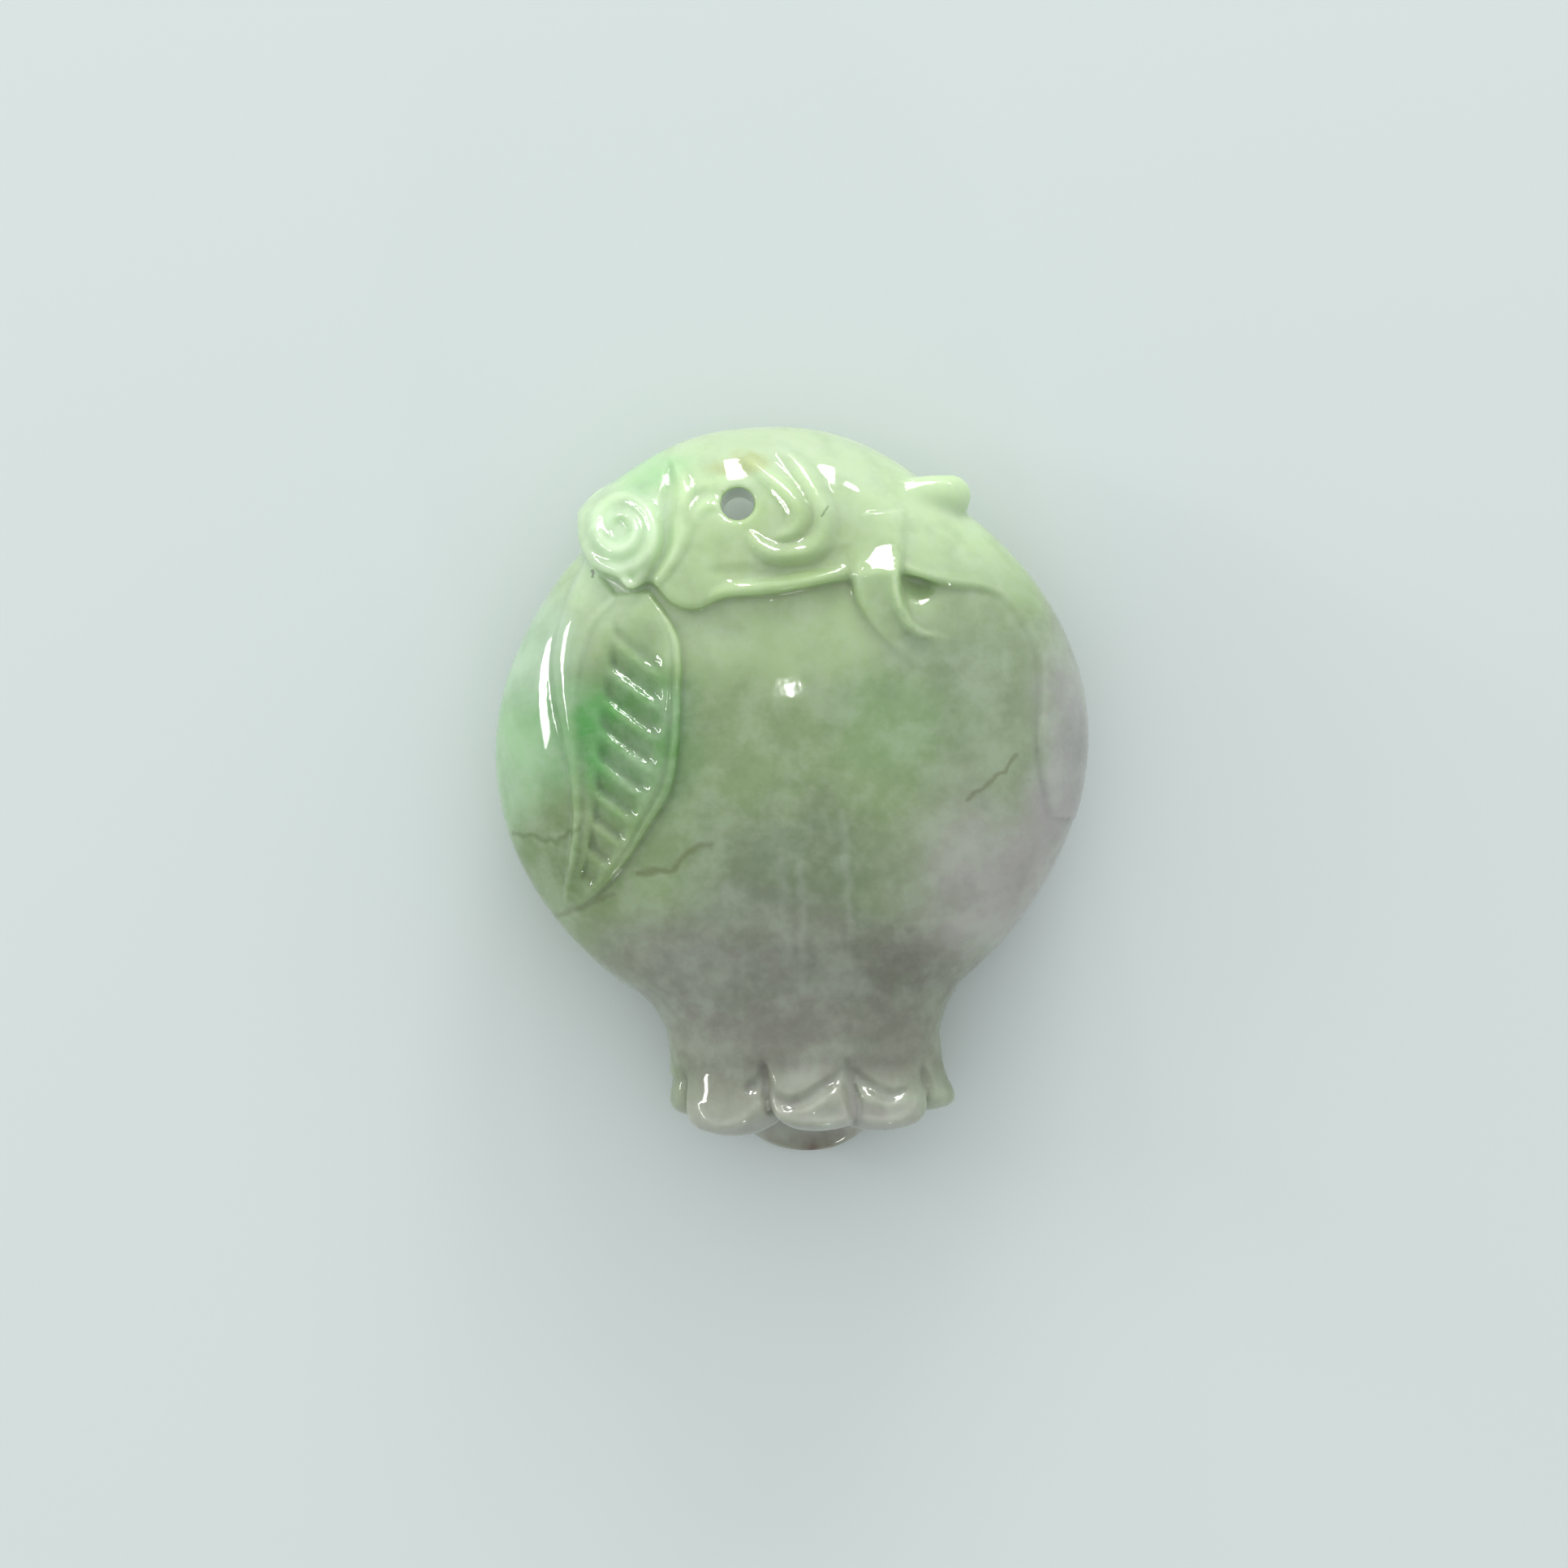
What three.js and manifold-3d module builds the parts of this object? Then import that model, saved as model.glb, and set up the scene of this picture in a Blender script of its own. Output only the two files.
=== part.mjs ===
// A pendant carved from one piece of jadeite: a round money bag with a gathered, petalled mouth, a leaf laid
// over its left shoulder and a scrolled cap over its closed end, drilled for a cord. Lengths are in
// millimetres. It lies on its back: +Z is the carved front, +Y points to the drilled end and -Y to the mouth.
import * as THREE from "three";
import { mergeVertices } from "three/addons/utils/BufferGeometryUtils.js";
import Module from "manifold-3d";

const wasm = await Module();
wasm.setup();

// The bag is a pillow: a nearly round outline whose two faces bulge from one level rim. The outline sags a
// little, is skewed to the right and is slightly square.
const BAG_Y = 2.67;
const BAG_RADIUS = 17.18;
const BAG_SHAPE = { sag: 0.24, skew: 0.11, squareness: 0.24, turn: 0.4 };
const RIM_Z = 5.2;
const FRONT_RISE = 7;
const BACK_DROP = 5.4;
const DOME_POWER = 2.4;
const BAG_STEPS = 88;
const FRONT_RINGS = 10;
const BACK_RINGS = 7;

// The cap stands proud of the bag and hangs over it at the drilled end. On the right it runs out into the
// bag's side. Angles are in degrees from +X.
const CAP_RISE = 0.75;
const CAP_BACK_RISE = 0.3;
const CAP_RADIUS = 18.5;
const CAP_RUNOUT = { from: 52, to: 92 };
const CAP_CROWN = { rise: 0.3, at: 108, spread: 12 };

// Where the cap ends on the front, from the curl on the left, along the ledge, to low on the right side.
const CAP_EDGE = [
  [-14, 17.4], [-11.2, 14.3], [-9.5, 11.5], [-8.1, 11.8], [-6.9, 10.6], [-5.5, 10.2], [-3.8, 10.85],
  [-0.8, 11.1], [3.1, 11.9], [6.3, 12.3], [9, 11.6], [11.8, 11.3], [13.7, 9.2], [14.5, 6.2], [14.3, 2.5],
  [15.1, -1.6],
];

// On the back the cap ends in one plain sweep between the same two ends. Beyond its ends each edge is carried
// out to the sides at these heights.
const CAP_BACK_EDGE = [[-14, 17.4], [-8, 12.4], [0, 10.6], [8, 10.2], [13.3, 5.5], [15.1, -1.6]];
const CAP_SIDE_Y = { left: 18, right: -2.5 };
const EDGE_STEPS = { front: 64, back: 32 };

// The neck narrows under the bag, with a fillet of its own on each side. Its faces sink toward its foot, which
// is buried in the mouth. Front and back it runs into the bag over a softer blend, between two depths below the
// bag's centre.
const NECK_X = 0.8;
const NECK_HALF_WIDTH = 7.9;
const NECK_FRONT = 4.1;
const NECK_BACK = 3.3;
const NECK_FOOT_Y = -16.7;
const NECK_TOP_Y = -11.5;
const LEFT_FILLET = { radius: 4.8, startY: -15.8 };
const RIGHT_FILLET = { radius: 5.7, startY: -15 };
const NECK_BLEND = { softness: 1.6, from: 2, to: 13 };
const NECK_SINKS = { fromY: -15.2, share: 0.9 };

// The mouth flares into petals. Each begins at an angle round the mouth, measured from the front toward +X,
// with a notch there, and runs to where the next begins. A lean under 1 moves its tip toward its beginning.
const PETALS = [
  { from: -19, notchY: -18.2, tipY: -19.8 },
  { from: 19.5, notchY: -19.4, tipY: -19.85 },
  { from: 58, notchY: -17.9, tipY: -18.9 },
  { from: 113, notchY: -17.9, tipY: -19.5 },
  { from: 150, notchY: -19, tipY: -21.55 },
  { from: 216, notchY: -19, tipY: -20.1 },
  { from: 247, notchY: -18, tipY: -19.3 },
  { from: 292, notchY: -18.2, tipY: -20.2, lean: 0.8 },
];
const PETAL_STEPS = 8;
const PETAL_POWER = 0.8;
const MOUTH_X = 1.25;
const MOUTH_TOP_Y = -14.6;
const MOUTH_HOLLOW = { x: 5.4, y: 3.4, z: 2.7, centreY: -21.4 };

// The mouth's rings from its edge up to the neck: share of the way down, half sizes at the notches, and how
// far the petals bulge out between them.
const MOUTH_RINGS = [
  { down: 1, x: 6.5, front: 3.3, back: 2.9, bulge: 0.4 },
  { down: 0.98, x: 7.05, front: 3.7, back: 3.3, bulge: 0.58 },
  { down: 0.9, x: 7.4, front: 4.1, back: 3.75, bulge: 0.8 },
  { down: 0.74, x: 7.6, front: 4.15, back: 3.9, bulge: 0.8 },
  { down: 0.52, x: 7.6, front: 4.2, back: 3.75, bulge: 0.55 },
  { down: 0.28, x: 7.4, front: 3.7, back: 3, bulge: 0.2 },
  { down: 0, x: 6.9, front: 3.2, back: 2.5, bulge: 0 },
];

const CORD_HOLE = { x: -3.1, y: 16.33, radius: 0.97, steps: 24 };

// The curl at the cap's left end: a knob whose face winds in along a spiral ridge to a pit. Its rings are
// shares of its radius, the first of them the knob's foot.
const CURL = { x: -9.95, y: 14.95, radius: 2.55, rise: 0.75, sunk: 1.4, steps: 22 };
const CURL_RINGS = [0.97, 1, 0.9, 0.76, 0.62, 0.48, 0.34, 0.22];
const CURL_SPIRAL = { pitch: 1.15, turn: 2.2, ridge: 0.22 };
const CURL_PIT = { share: 0.3, depth: 0.6 };
const CURL_OVERHANG = 0.6;
const CURL_TAIL = [[-11.2, 13.4], [-10.6, 12.6], [-9.8, 11.9], [-9.2, 11.5]];
const CURL_GROOVE = [[-6.6, 18.7], [-6.95, 17.6], [-7.4, 16.4], [-7.5, 14.8], [-7.4, 13.7], [-8.2, 12.2]];
const HOLE_GROOVE = [[-4.4, 16.55], [-5.7, 16.4], [-6.2, 15.8], [-6.3, 14.7]];

// The comma-shaped scroll beside the hole, its outer and inner ridges.
const SCROLL_OUTER = [
  [-0.5, 19.6], [0.3, 18.8], [0.95, 17.7], [1.6, 16.4], [1.9, 15.3], [1.6, 14.15], [0.7, 13.5],
  [-0.7, 13.35], [-1.8, 13.8], [-2.35, 14.5],
];
const SCROLL_INNER = [[-2.5, 19], [-1.15, 17.8], [-0.15, 16.8], [0.4, 15.75], [0.1, 14.8], [-0.7, 14.4]];

// The stubby roll at the cap's right end, as radii along its length.
const EAR = { y: 17.05, z: 7.6, droop: 0.25, steps: 12 };
const EAR_RADII = [[6.2, 0.5], [7, 0.95], [8, 1.15], [9.2, 1.2], [9.9, 1.1], [10.35, 0.75], [10.5, 0.3]];

// The strap that drops from the cap over the ledge and hooks to the right: left edge, right edge and height,
// and its profile across. A pit lies in the crook of the hook.
const STRAP = [
  { left: [3.9, 15.6], right: [6.4, 16], height: 0.6 },
  { left: [3.5, 13.9], right: [6.4, 14], height: 1.05 },
  { left: [3.45, 12.2], right: [6.25, 12.3], height: 1.15 },
  { left: [3.8, 10.7], right: [6.35, 10.9], height: 1.05 },
  { left: [4.7, 9.3], right: [6.8, 9.8], height: 0.8 },
  { left: [5.8, 8.2], right: [7.6, 9.1], height: 0.55 },
  { left: [7.1, 7.2], right: [8.5, 8.8], height: 0.25 },
  { left: [8.7, 6.7], right: [9.6, 8.6], height: -0.15 },
];
const STRAP_STEPS = 14;
const STRAP_LEAST = -0.4;
const STRAP_PROFILE = [
  { at: 0, rise: -0.45 },
  { at: 0.14, rise: 0 },
  { at: 0.5, rise: 0.06 },
  { at: 0.86, rise: 0 },
  { at: 1, rise: -0.35 },
];
const STRAP_PIT = { x: 7.6, y: 10.9, above: 0.4, across: 1, along: 1.5, deep: 0.9 };

// The leaf's left margin, midrib and right margin, from under the curl to the tip.
const LEAF_LEFT = [
  [-12, 13.3], [-13.2, 10.2], [-13.75, 7.6], [-13.6, 5.2], [-13.15, 3], [-12.75, 0.7], [-12.6, -1.8],
  [-12.9, -4.4], [-13.3, -6.9],
];
const LEAF_MIDRIB = [
  [-10.2, 11], [-10.75, 8.8], [-11.1, 6.9], [-11.4, 4.9], [-11.55, 2.9], [-11.65, 0.6], [-11.75, -1.8],
  [-12.1, -4.4], [-13.1, -6.95],
];
const LEAF_RIGHT = [
  [-8.2, 11.2], [-6.5, 8.4], [-6.4, 4.6], [-6.55, 2.1], [-6.95, -0.1], [-8.1, -2], [-9.5, -4.1],
  [-11.2, -5.9], [-12.9, -7],
];

// Its profile from each margin to the midrib. Side veins are grooves that sag toward the tip, and each takes
// a few rows: at its bottom and on its way up.
const LEAF_RISE = 0.35;
const LEAF_THINS = { root: 0.5, overRoot: 0.1, overTip: 0.17 };
const LEAF_VEINS = 9;
const VEIN_ROWS = [0.38, 0.04, 0.17];
const VEIN_SAG = { down: 0.35, left: 0.14, overTip: 0.33 };
const LEFT_PROFILE = [
  { at: 0, rise: 0.1 },
  { at: 0.2, rise: 0.5 },
  { at: 0.45, rise: 0.2 },
  { at: 0.8, rise: 0.3 },
];
const RIGHT_PROFILE = [
  { at: 0, rise: 0.35, vein: 0 },
  { at: 0.12, rise: 0.3, vein: 1 },
  { at: 0.45, rise: 0.3, vein: 1 },
  { at: 0.78, rise: 0.2, vein: 0.5 },
  { at: 0.88, rise: 0.05, vein: 0 },
  { at: 0.97, rise: 0.3, vein: 0 },
  { at: 1, rise: 0.05, vein: 0 },
];

// A stroke is a round ridge or groove along a curve, thinner to its ends. Ridges have their middles a little
// under the cap's face and grooves a little above it.
const STROKE = { step: 0.6, sides: 8, ends: 0.35, power: 0.6 };
const RIDGE_ABOVE = -0.1;
const GROOVE_ABOVE = 0.05;
const RIDGE_RADII = { curlTail: 0.75, scrollOuter: 0.6, scrollInner: 0.65 };
const GROOVE_RADII = { curl: 0.45, hole: 0.42 };

// Anything this far out is clear of the part, sheets laid on the bag are sunk this deep in it, and solids
// that are joined edge to edge overlap by this much.
const OUTSIDE = 24;
const SHEET_SUNK = 0.9;
const OVERLAP = 0.01;
const FINE_STEPS = 720;
const BALL_STEPS = { around: 18, over: 12 };

const { clamp, degToRad, lerp, radToDeg, smoothstep } = THREE.MathUtils;
const planCurve = (points) => new THREE.SplineCurve(points.map(([x, y]) => new THREE.Vector2(x, y)));
const dome = (share) => Math.sqrt(Math.max(0, 1 - share ** DOME_POWER));

// The outline's distance from the bag's centre, at an angle from +X.
function bagRadius(angle) {
  const { sag, skew, squareness, turn } = BAG_SHAPE;
  const flaws = -sag * Math.sin(angle) + skew * Math.sin(2 * angle) + squareness * Math.cos(4 * angle - turn);
  return BAG_RADIUS + flaws;
}

function capRadius(angle) {
  const degrees = radToDeg(angle);
  const crown = CAP_CROWN.rise * Math.exp(-(((degrees - CAP_CROWN.at) / CAP_CROWN.spread) ** 2));
  return lerp(bagRadius(angle), CAP_RADIUS + crown, smoothstep(degrees, CAP_RUNOUT.from, CAP_RUNOUT.to));
}

// How far a quarter-round fillet has left its straight side at a height.
function filletReach({ radius, startY }, y) {
  const up = clamp(y - startY, 0, radius);
  return radius - Math.sqrt(radius * radius - up * up);
}

// How far the bag, or below it the neck, reaches to one side of the bag's middle at a height.
function sideReach(y, side) {
  if (y < NECK_TOP_Y) {
    const fillet = side < 0 ? LEFT_FILLET : RIGHT_FILLET;
    return NECK_HALF_WIDTH + filletReach(fillet, y) + side * NECK_X;
  }
  const up = y - BAG_Y;
  const angle = Math.atan2(up, side * Math.sqrt(Math.max(OVERLAP, BAG_RADIUS ** 2 - up * up)));
  return Math.sqrt(Math.max(OVERLAP, bagRadius(angle) ** 2 - up * up));
}

// The plan of bag and neck together: the farthest point at an angle from the bag's centre.
function outlineRadius(angle) {
  const halvings = 30;
  let near = bagRadius(angle) - OVERLAP;
  let far = OUTSIDE;
  for (let i = 0; i < halvings; i++) {
    const half = (near + far) / 2;
    const x = half * Math.cos(angle);
    const y = BAG_Y + half * Math.sin(angle);
    const inNeck = y < NECK_TOP_Y && y > NECK_FOOT_Y && Math.abs(x) < sideReach(y, Math.sign(x));
    if (inNeck) near = half;
    else far = half;
  }
  return near;
}

// How far one face of bag and neck stands from the rim over a point of the plan.
function bulge(x, y, bagHeight, neckHeight) {
  const left = sideReach(y, -1);
  const right = sideReach(y, 1);
  const across = Math.abs(2 * x - right + left) / (right + left);
  const bag = bagHeight * dome(Math.abs(y - BAG_Y) / BAG_RADIUS);
  const neck = y < BAG_Y ? neckHeight : 0;
  const soft = NECK_BLEND.softness * smoothstep(BAG_Y - y, NECK_BLEND.from, NECK_BLEND.to);
  const middle = (bag + neck + Math.hypot(bag - neck, soft)) / 2;
  const intoMouth = clamp((NECK_SINKS.fromY - y) / (NECK_SINKS.fromY - NECK_FOOT_Y), 0, 1);
  return middle * dome(across) * dome(NECK_SINKS.share * intoMouth);
}

const bagZ = (x, y) => RIM_Z + bulge(x, y, FRONT_RISE, NECK_FRONT);
const bagBackZ = (x, y) => RIM_Z - bulge(x, y, BACK_DROP, NECK_BACK);

function capZ(x, y) {
  const share = Math.hypot(x, y - BAG_Y) / capRadius(Math.atan2(y - BAG_Y, x));
  return RIM_Z + (FRONT_RISE + CAP_RISE) * dome(share);
}

// A closed solid from any geometry.
function solid(geometry) {
  const bare = new THREE.BufferGeometry();
  bare.setAttribute("position", geometry.getAttribute("position"));
  if (geometry.index) bare.setIndex(geometry.index);
  const merged = mergeVertices(bare, 1e-4);
  const whole = [];
  for (let i = 0; i < merged.index.count; i += 3) {
    const [a, b, c] = [0, 1, 2].map((k) => merged.index.getX(i + k));
    if (a !== b && b !== c && c !== a) whole.push(a, b, c);
  }
  return new wasm.Manifold(
    new wasm.Mesh({
      numProp: 3,
      vertProperties: new Float32Array(merged.attributes.position.array),
      triVerts: new Uint32Array(whole),
    }),
  );
}

// Rings of equally many points joined in order and closed at both ends. Ring points run anticlockwise seen
// from the last ring.
function loft(rings) {
  const count = rings[0].length;
  const points = rings.flat();
  const faces = [];
  for (let r = 0; r + 1 < rings.length; r++) {
    for (let i = 0; i < count; i++) {
      const a = r * count + i;
      const b = r * count + ((i + 1) % count);
      faces.push(a, b, b + count, a, b + count, a + count);
    }
  }
  for (const [ring, flip] of [[0, true], [rings.length - 1, false]]) {
    points.push(rings[ring].reduce((sum, p) => sum.add(p), new THREE.Vector3()).divideScalar(count));
    for (let i = 0; i < count; i++) {
      const a = ring * count + i;
      const b = ring * count + ((i + 1) % count);
      faces.push(...(flip ? [b, a] : [a, b]), points.length - 1);
    }
  }
  const geometry = new THREE.BufferGeometry().setFromPoints(points);
  geometry.setIndex(faces);
  return solid(geometry);
}

// Angles that space an outline's points evenly along it.
function evenAngles(radiusAt, count) {
  const fine = Array.from({ length: FINE_STEPS + 1 }, (_, i) => (2 * i / FINE_STEPS - 1) * Math.PI);
  const points = fine.map((angle) => {
    const reach = radiusAt(angle);
    return new THREE.Vector2(reach * Math.cos(angle), reach * Math.sin(angle));
  });
  const travelled = [0];
  for (let i = 1; i < fine.length; i++) {
    travelled.push(travelled[i - 1] + points[i].distanceTo(points[i - 1]));
  }
  return Array.from({ length: count }, (_, k) => {
    const wanted = (k / count) * travelled.at(-1);
    return fine[travelled.findIndex((length) => length >= wanted)];
  });
}

// A pillow's rings run from the back's middle over the rim to the front's middle.
function pillow(radiusAt, frontZ, backZ) {
  const angles = evenAngles(outlineRadius, BAG_STEPS);
  const ring = (share, zAt) =>
    angles.map((angle) => {
      const lift = (share * Math.PI) / 2;
      const reach = radiusAt(angle) * Math.cos(lift) ** (2 / DOME_POWER);
      const x = reach * Math.cos(angle);
      const y = BAG_Y + reach * Math.sin(angle);
      return new THREE.Vector3(x, y, share ? zAt(x, y, Math.sin(lift)) : RIM_Z);
    });
  const back = Array.from({ length: BACK_RINGS - 1 }, (_, i) => ring(1 - (i + 1) / BACK_RINGS, backZ));
  const front = Array.from({ length: FRONT_RINGS }, (_, i) => ring(i / FRONT_RINGS, frontZ));
  return loft([...back, ...front]);
}

// One loft round the whole mouth. Petals bulge between their notches and end in a scalloped edge.
function mouth() {
  const around = PETALS.flatMap(({ from, notchY, tipY, lean = 1 }, i) => {
    const next = PETALS[i + 1] ?? { from: PETALS[0].from + 360, notchY: PETALS[0].notchY };
    return Array.from({ length: PETAL_STEPS }, (_, k) => {
      const across = k / PETAL_STEPS;
      const round = Math.sqrt(1 - (2 * across ** lean - 1) ** 2);
      const notch = lerp(notchY, next.notchY, across);
      const angle = degToRad(lerp(from, next.from, across));
      return { angle, round, footY: lerp(notch, tipY, round ** PETAL_POWER) };
    });
  });
  return loft(
    MOUTH_RINGS.map((ring) =>
      around.map(({ angle, round, footY }) => {
        const out = round * ring.bulge;
        const deep = Math.cos(angle);
        return new THREE.Vector3(
          MOUTH_X + (ring.x + out) * Math.sin(angle),
          lerp(MOUTH_TOP_Y, footY, ring.down),
          RIM_Z + ((deep > 0 ? ring.front : ring.back) + out) * deep,
        );
      }),
    ),
  );
}

function ball(x, y, z, rx, ry, rz) {
  const { around, over } = BALL_STEPS;
  return solid(new THREE.SphereGeometry(1, around, over).scale(rx, ry, rz).translate(x, y, z));
}

function stroke(plan, radius, above) {
  const curve = planCurve(plan);
  const steps = Math.round(curve.getLength() / STROKE.step);
  const path = curve.getSpacedPoints(steps).map(({ x, y }) => {
    return new THREE.Vector3(x, y, capZ(x, y) + above);
  });
  return loft(
    path.map((middle, i) => {
      const before = path[Math.max(0, i - 1)];
      const after = path[Math.min(steps, i + 1)];
      const ahead = after.clone().sub(before).normalize();
      const side = new THREE.Vector3().crossVectors(new THREE.Vector3(0, 0, 1), ahead).normalize();
      const up = new THREE.Vector3().crossVectors(ahead, side);
      const size = radius * lerp(STROKE.ends, 1, Math.sin((i / steps) * Math.PI) ** STROKE.power);
      return Array.from({ length: STROKE.sides }, (_, k) => {
        const angle = (k / STROKE.sides) * 2 * Math.PI;
        const out = middle.clone().addScaledVector(side, size * Math.cos(angle));
        return out.addScaledVector(up, size * Math.sin(angle));
      });
    }),
  );
}

function prism(outline, low, high) {
  const options = { depth: high - low, bevelEnabled: false };
  return solid(new THREE.ExtrudeGeometry(new THREE.Shape(outline), options).translate(0, 0, low));
}

// A sheet laid over the front. Its rows are plan points with a height over the bag's face: [x, y, height].
function sheet(rows) {
  const width = rows[0].length;
  const top = rows.flat().map(([x, y, height]) => new THREE.Vector3(x, y, bagZ(x, y) + height));
  const bottom = rows.flat().map(([x, y]) => new THREE.Vector3(x, y, bagZ(x, y) - SHEET_SUNK));
  const at = (r, c) => r * width + c;
  const under = rows.length * width;
  const faces = [];
  for (let r = 0; r + 1 < rows.length; r++) {
    for (let c = 0; c + 1 < width; c++) {
      const [a, b, d, e] = [at(r, c), at(r, c + 1), at(r + 1, c + 1), at(r + 1, c)];
      faces.push(a, d, b, a, e, d);
      faces.push(...[a, b, d, a, d, e].map((corner) => corner + under));
    }
  }
  const last = rows.length - 1;
  const rim = [
    ...Array.from({ length: width - 1 }, (_, c) => at(0, c)),
    ...Array.from({ length: last }, (_, r) => at(r, width - 1)),
    ...Array.from({ length: width - 1 }, (_, c) => at(last, width - 1 - c)),
    ...Array.from({ length: last }, (_, r) => at(last - r, 0)),
  ];
  rim.forEach((a, i) => {
    const b = rim[(i + 1) % rim.length];
    faces.push(a, b, b + under, a, b + under, a + under);
  });
  const geometry = new THREE.BufferGeometry().setFromPoints([...top, ...bottom]);
  geometry.setIndex(faces);
  return solid(geometry);
}

function cap() {
  const { left, right } = CAP_SIDE_Y;
  const corners = [[OUTSIDE, right], [OUTSIDE, OUTSIDE], [-OUTSIDE, OUTSIDE], [-OUTSIDE, left]];
  const around = corners.map(([x, y]) => new THREE.Vector2(x, y));
  const frontZ = (x, y, lift) => RIM_Z + lift * (FRONT_RISE + CAP_RISE);
  const backZ = (x, y, lift) => RIM_Z - lift * (BACK_DROP + CAP_BACK_RISE);
  const frontEdge = planCurve(CAP_EDGE).getPoints(EDGE_STEPS.front);
  const backEdge = planCurve(CAP_BACK_EDGE).getPoints(EDGE_STEPS.back);
  const front = prism([...frontEdge, ...around], RIM_Z, OUTSIDE);
  const back = prism([...backEdge, ...around], -OUTSIDE, RIM_Z + OVERLAP);
  return pillow(capRadius, frontZ, backZ).intersect(front.add(back));
}

function curl() {
  return loft(
    CURL_RINGS.map((share, ring) =>
      Array.from({ length: CURL.steps }, (_, k) => {
        const angle = (k / CURL.steps) * 2 * Math.PI;
        const reach = share * CURL.radius;
        const x = CURL.x + reach * Math.cos(angle);
        const y = CURL.y + reach * Math.sin(angle);
        if (ring === 0) return new THREE.Vector3(x, y, RIM_Z - CURL.sunk);
        const winding = Math.cos(2 * Math.PI * (reach / CURL_SPIRAL.pitch) + angle + CURL_SPIRAL.turn);
        const ridge = ring > 1 ? CURL_SPIRAL.ridge * winding : 0;
        const pit = share < CURL_PIT.share ? CURL_PIT.depth : 0;
        const face = Math.max(capZ(x, y), RIM_Z + CURL_OVERHANG);
        return new THREE.Vector3(x, y, face + CURL.rise * Math.sqrt(1 - share ** 4) - pit + ridge);
      }),
    ),
  );
}

function ear() {
  return loft(
    EAR_RADII.map(([x, radius]) =>
      Array.from({ length: EAR.steps }, (_, k) => {
        const angle = (k / EAR.steps) * 2 * Math.PI;
        const z = EAR.z - EAR.droop * (x - EAR_RADII[0][0]);
        return new THREE.Vector3(x, EAR.y + radius * Math.cos(angle), z + radius * Math.sin(angle));
      }),
    ),
  );
}

function strap() {
  const lefts = planCurve(STRAP.map(({ left }) => left));
  const rights = planCurve(STRAP.map(({ right }) => right));
  const heights = planCurve(STRAP.map(({ height }, i) => [i, height]));
  return sheet(
    Array.from({ length: STRAP_STEPS + 1 }, (_, i) => {
      const along = i / STRAP_STEPS;
      const height = heights.getPoint(along).y;
      return STRAP_PROFILE.map(({ at, rise }) => {
        const p = lefts.getPoint(along).lerp(rights.getPoint(along), at);
        return [p.x, p.y, Math.max(height + rise, STRAP_LEAST)];
      });
    }),
  );
}

// Each of the leaf's rows runs from its left margin over the midrib to its right margin. It thins out at both
// ends.
function leaf() {
  const rows = LEAF_VEINS * VEIN_ROWS.length;
  const [lefts, midribs, rights] = [LEAF_LEFT, LEAF_MIDRIB, LEAF_RIGHT].map(planCurve);
  const { root, overRoot, overTip } = LEAF_THINS;
  return sheet(
    Array.from({ length: rows + 1 }, (_, r) => {
      const along = r / rows;
      const [left, midrib, right] = [lefts, midribs, rights].map((curve) => curve.getPoint(along));
      const thin = Math.min(1, (1 - along) / overTip) * Math.min(1, lerp(root, 1, along / overRoot));
      const toLeft = LEFT_PROFILE.map(({ at, rise }) => {
        const p = left.clone().lerp(midrib, at);
        return [p.x, p.y, (LEAF_RISE + rise) * thin];
      });
      const toRight = RIGHT_PROFILE.map(({ at, rise, vein }) => {
        const p = midrib.clone().lerp(right, at);
        const sag = Math.sin(at * Math.PI) * Math.min(1, (1 - along) / VEIN_SAG.overTip);
        const height = (LEAF_RISE + rise - vein * VEIN_ROWS[r % VEIN_ROWS.length]) * thin;
        return [p.x - VEIN_SAG.left * sag, p.y - VEIN_SAG.down * sag, height];
      });
      return [...toLeft, ...toRight];
    }),
  );
}

function cordHole() {
  const { x, y, radius, steps } = CORD_HOLE;
  const drill = new THREE.CylinderGeometry(radius, radius, 2 * OUTSIDE, steps).rotateX(Math.PI / 2);
  return solid(drill.translate(x, y, 0));
}

function strapPit() {
  const { x, y, above, across, along, deep } = STRAP_PIT;
  return ball(x, y, bagZ(x, y) + above, across, along, deep);
}

const raised = [
  mouth(),
  cap(),
  leaf(),
  strap(),
  ear(),
  curl(),
  stroke(CURL_TAIL, RIDGE_RADII.curlTail, RIDGE_ABOVE),
  stroke(SCROLL_OUTER, RIDGE_RADII.scrollOuter, RIDGE_ABOVE),
  stroke(SCROLL_INNER, RIDGE_RADII.scrollInner, RIDGE_ABOVE),
];

// The last cut leaves the small flat spot that the part lies on.
const cuts = [
  cordHole(),
  ball(MOUTH_X, MOUTH_HOLLOW.centreY, RIM_Z, MOUTH_HOLLOW.x, MOUTH_HOLLOW.y, MOUTH_HOLLOW.z),
  strapPit(),
  stroke(CURL_GROOVE, GROOVE_RADII.curl, GROOVE_ABOVE),
  stroke(HOLE_GROOVE, GROOVE_RADII.hole, GROOVE_ABOVE),
  solid(new THREE.BoxGeometry(2 * OUTSIDE, 2 * OUTSIDE, RIM_Z).translate(0, 0, -RIM_Z / 2)),
];

let carving = pillow(outlineRadius, bagZ, bagBackZ);
for (const piece of raised) carving = carving.add(piece);
for (const piece of cuts) carving = carving.subtract(piece);

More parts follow.
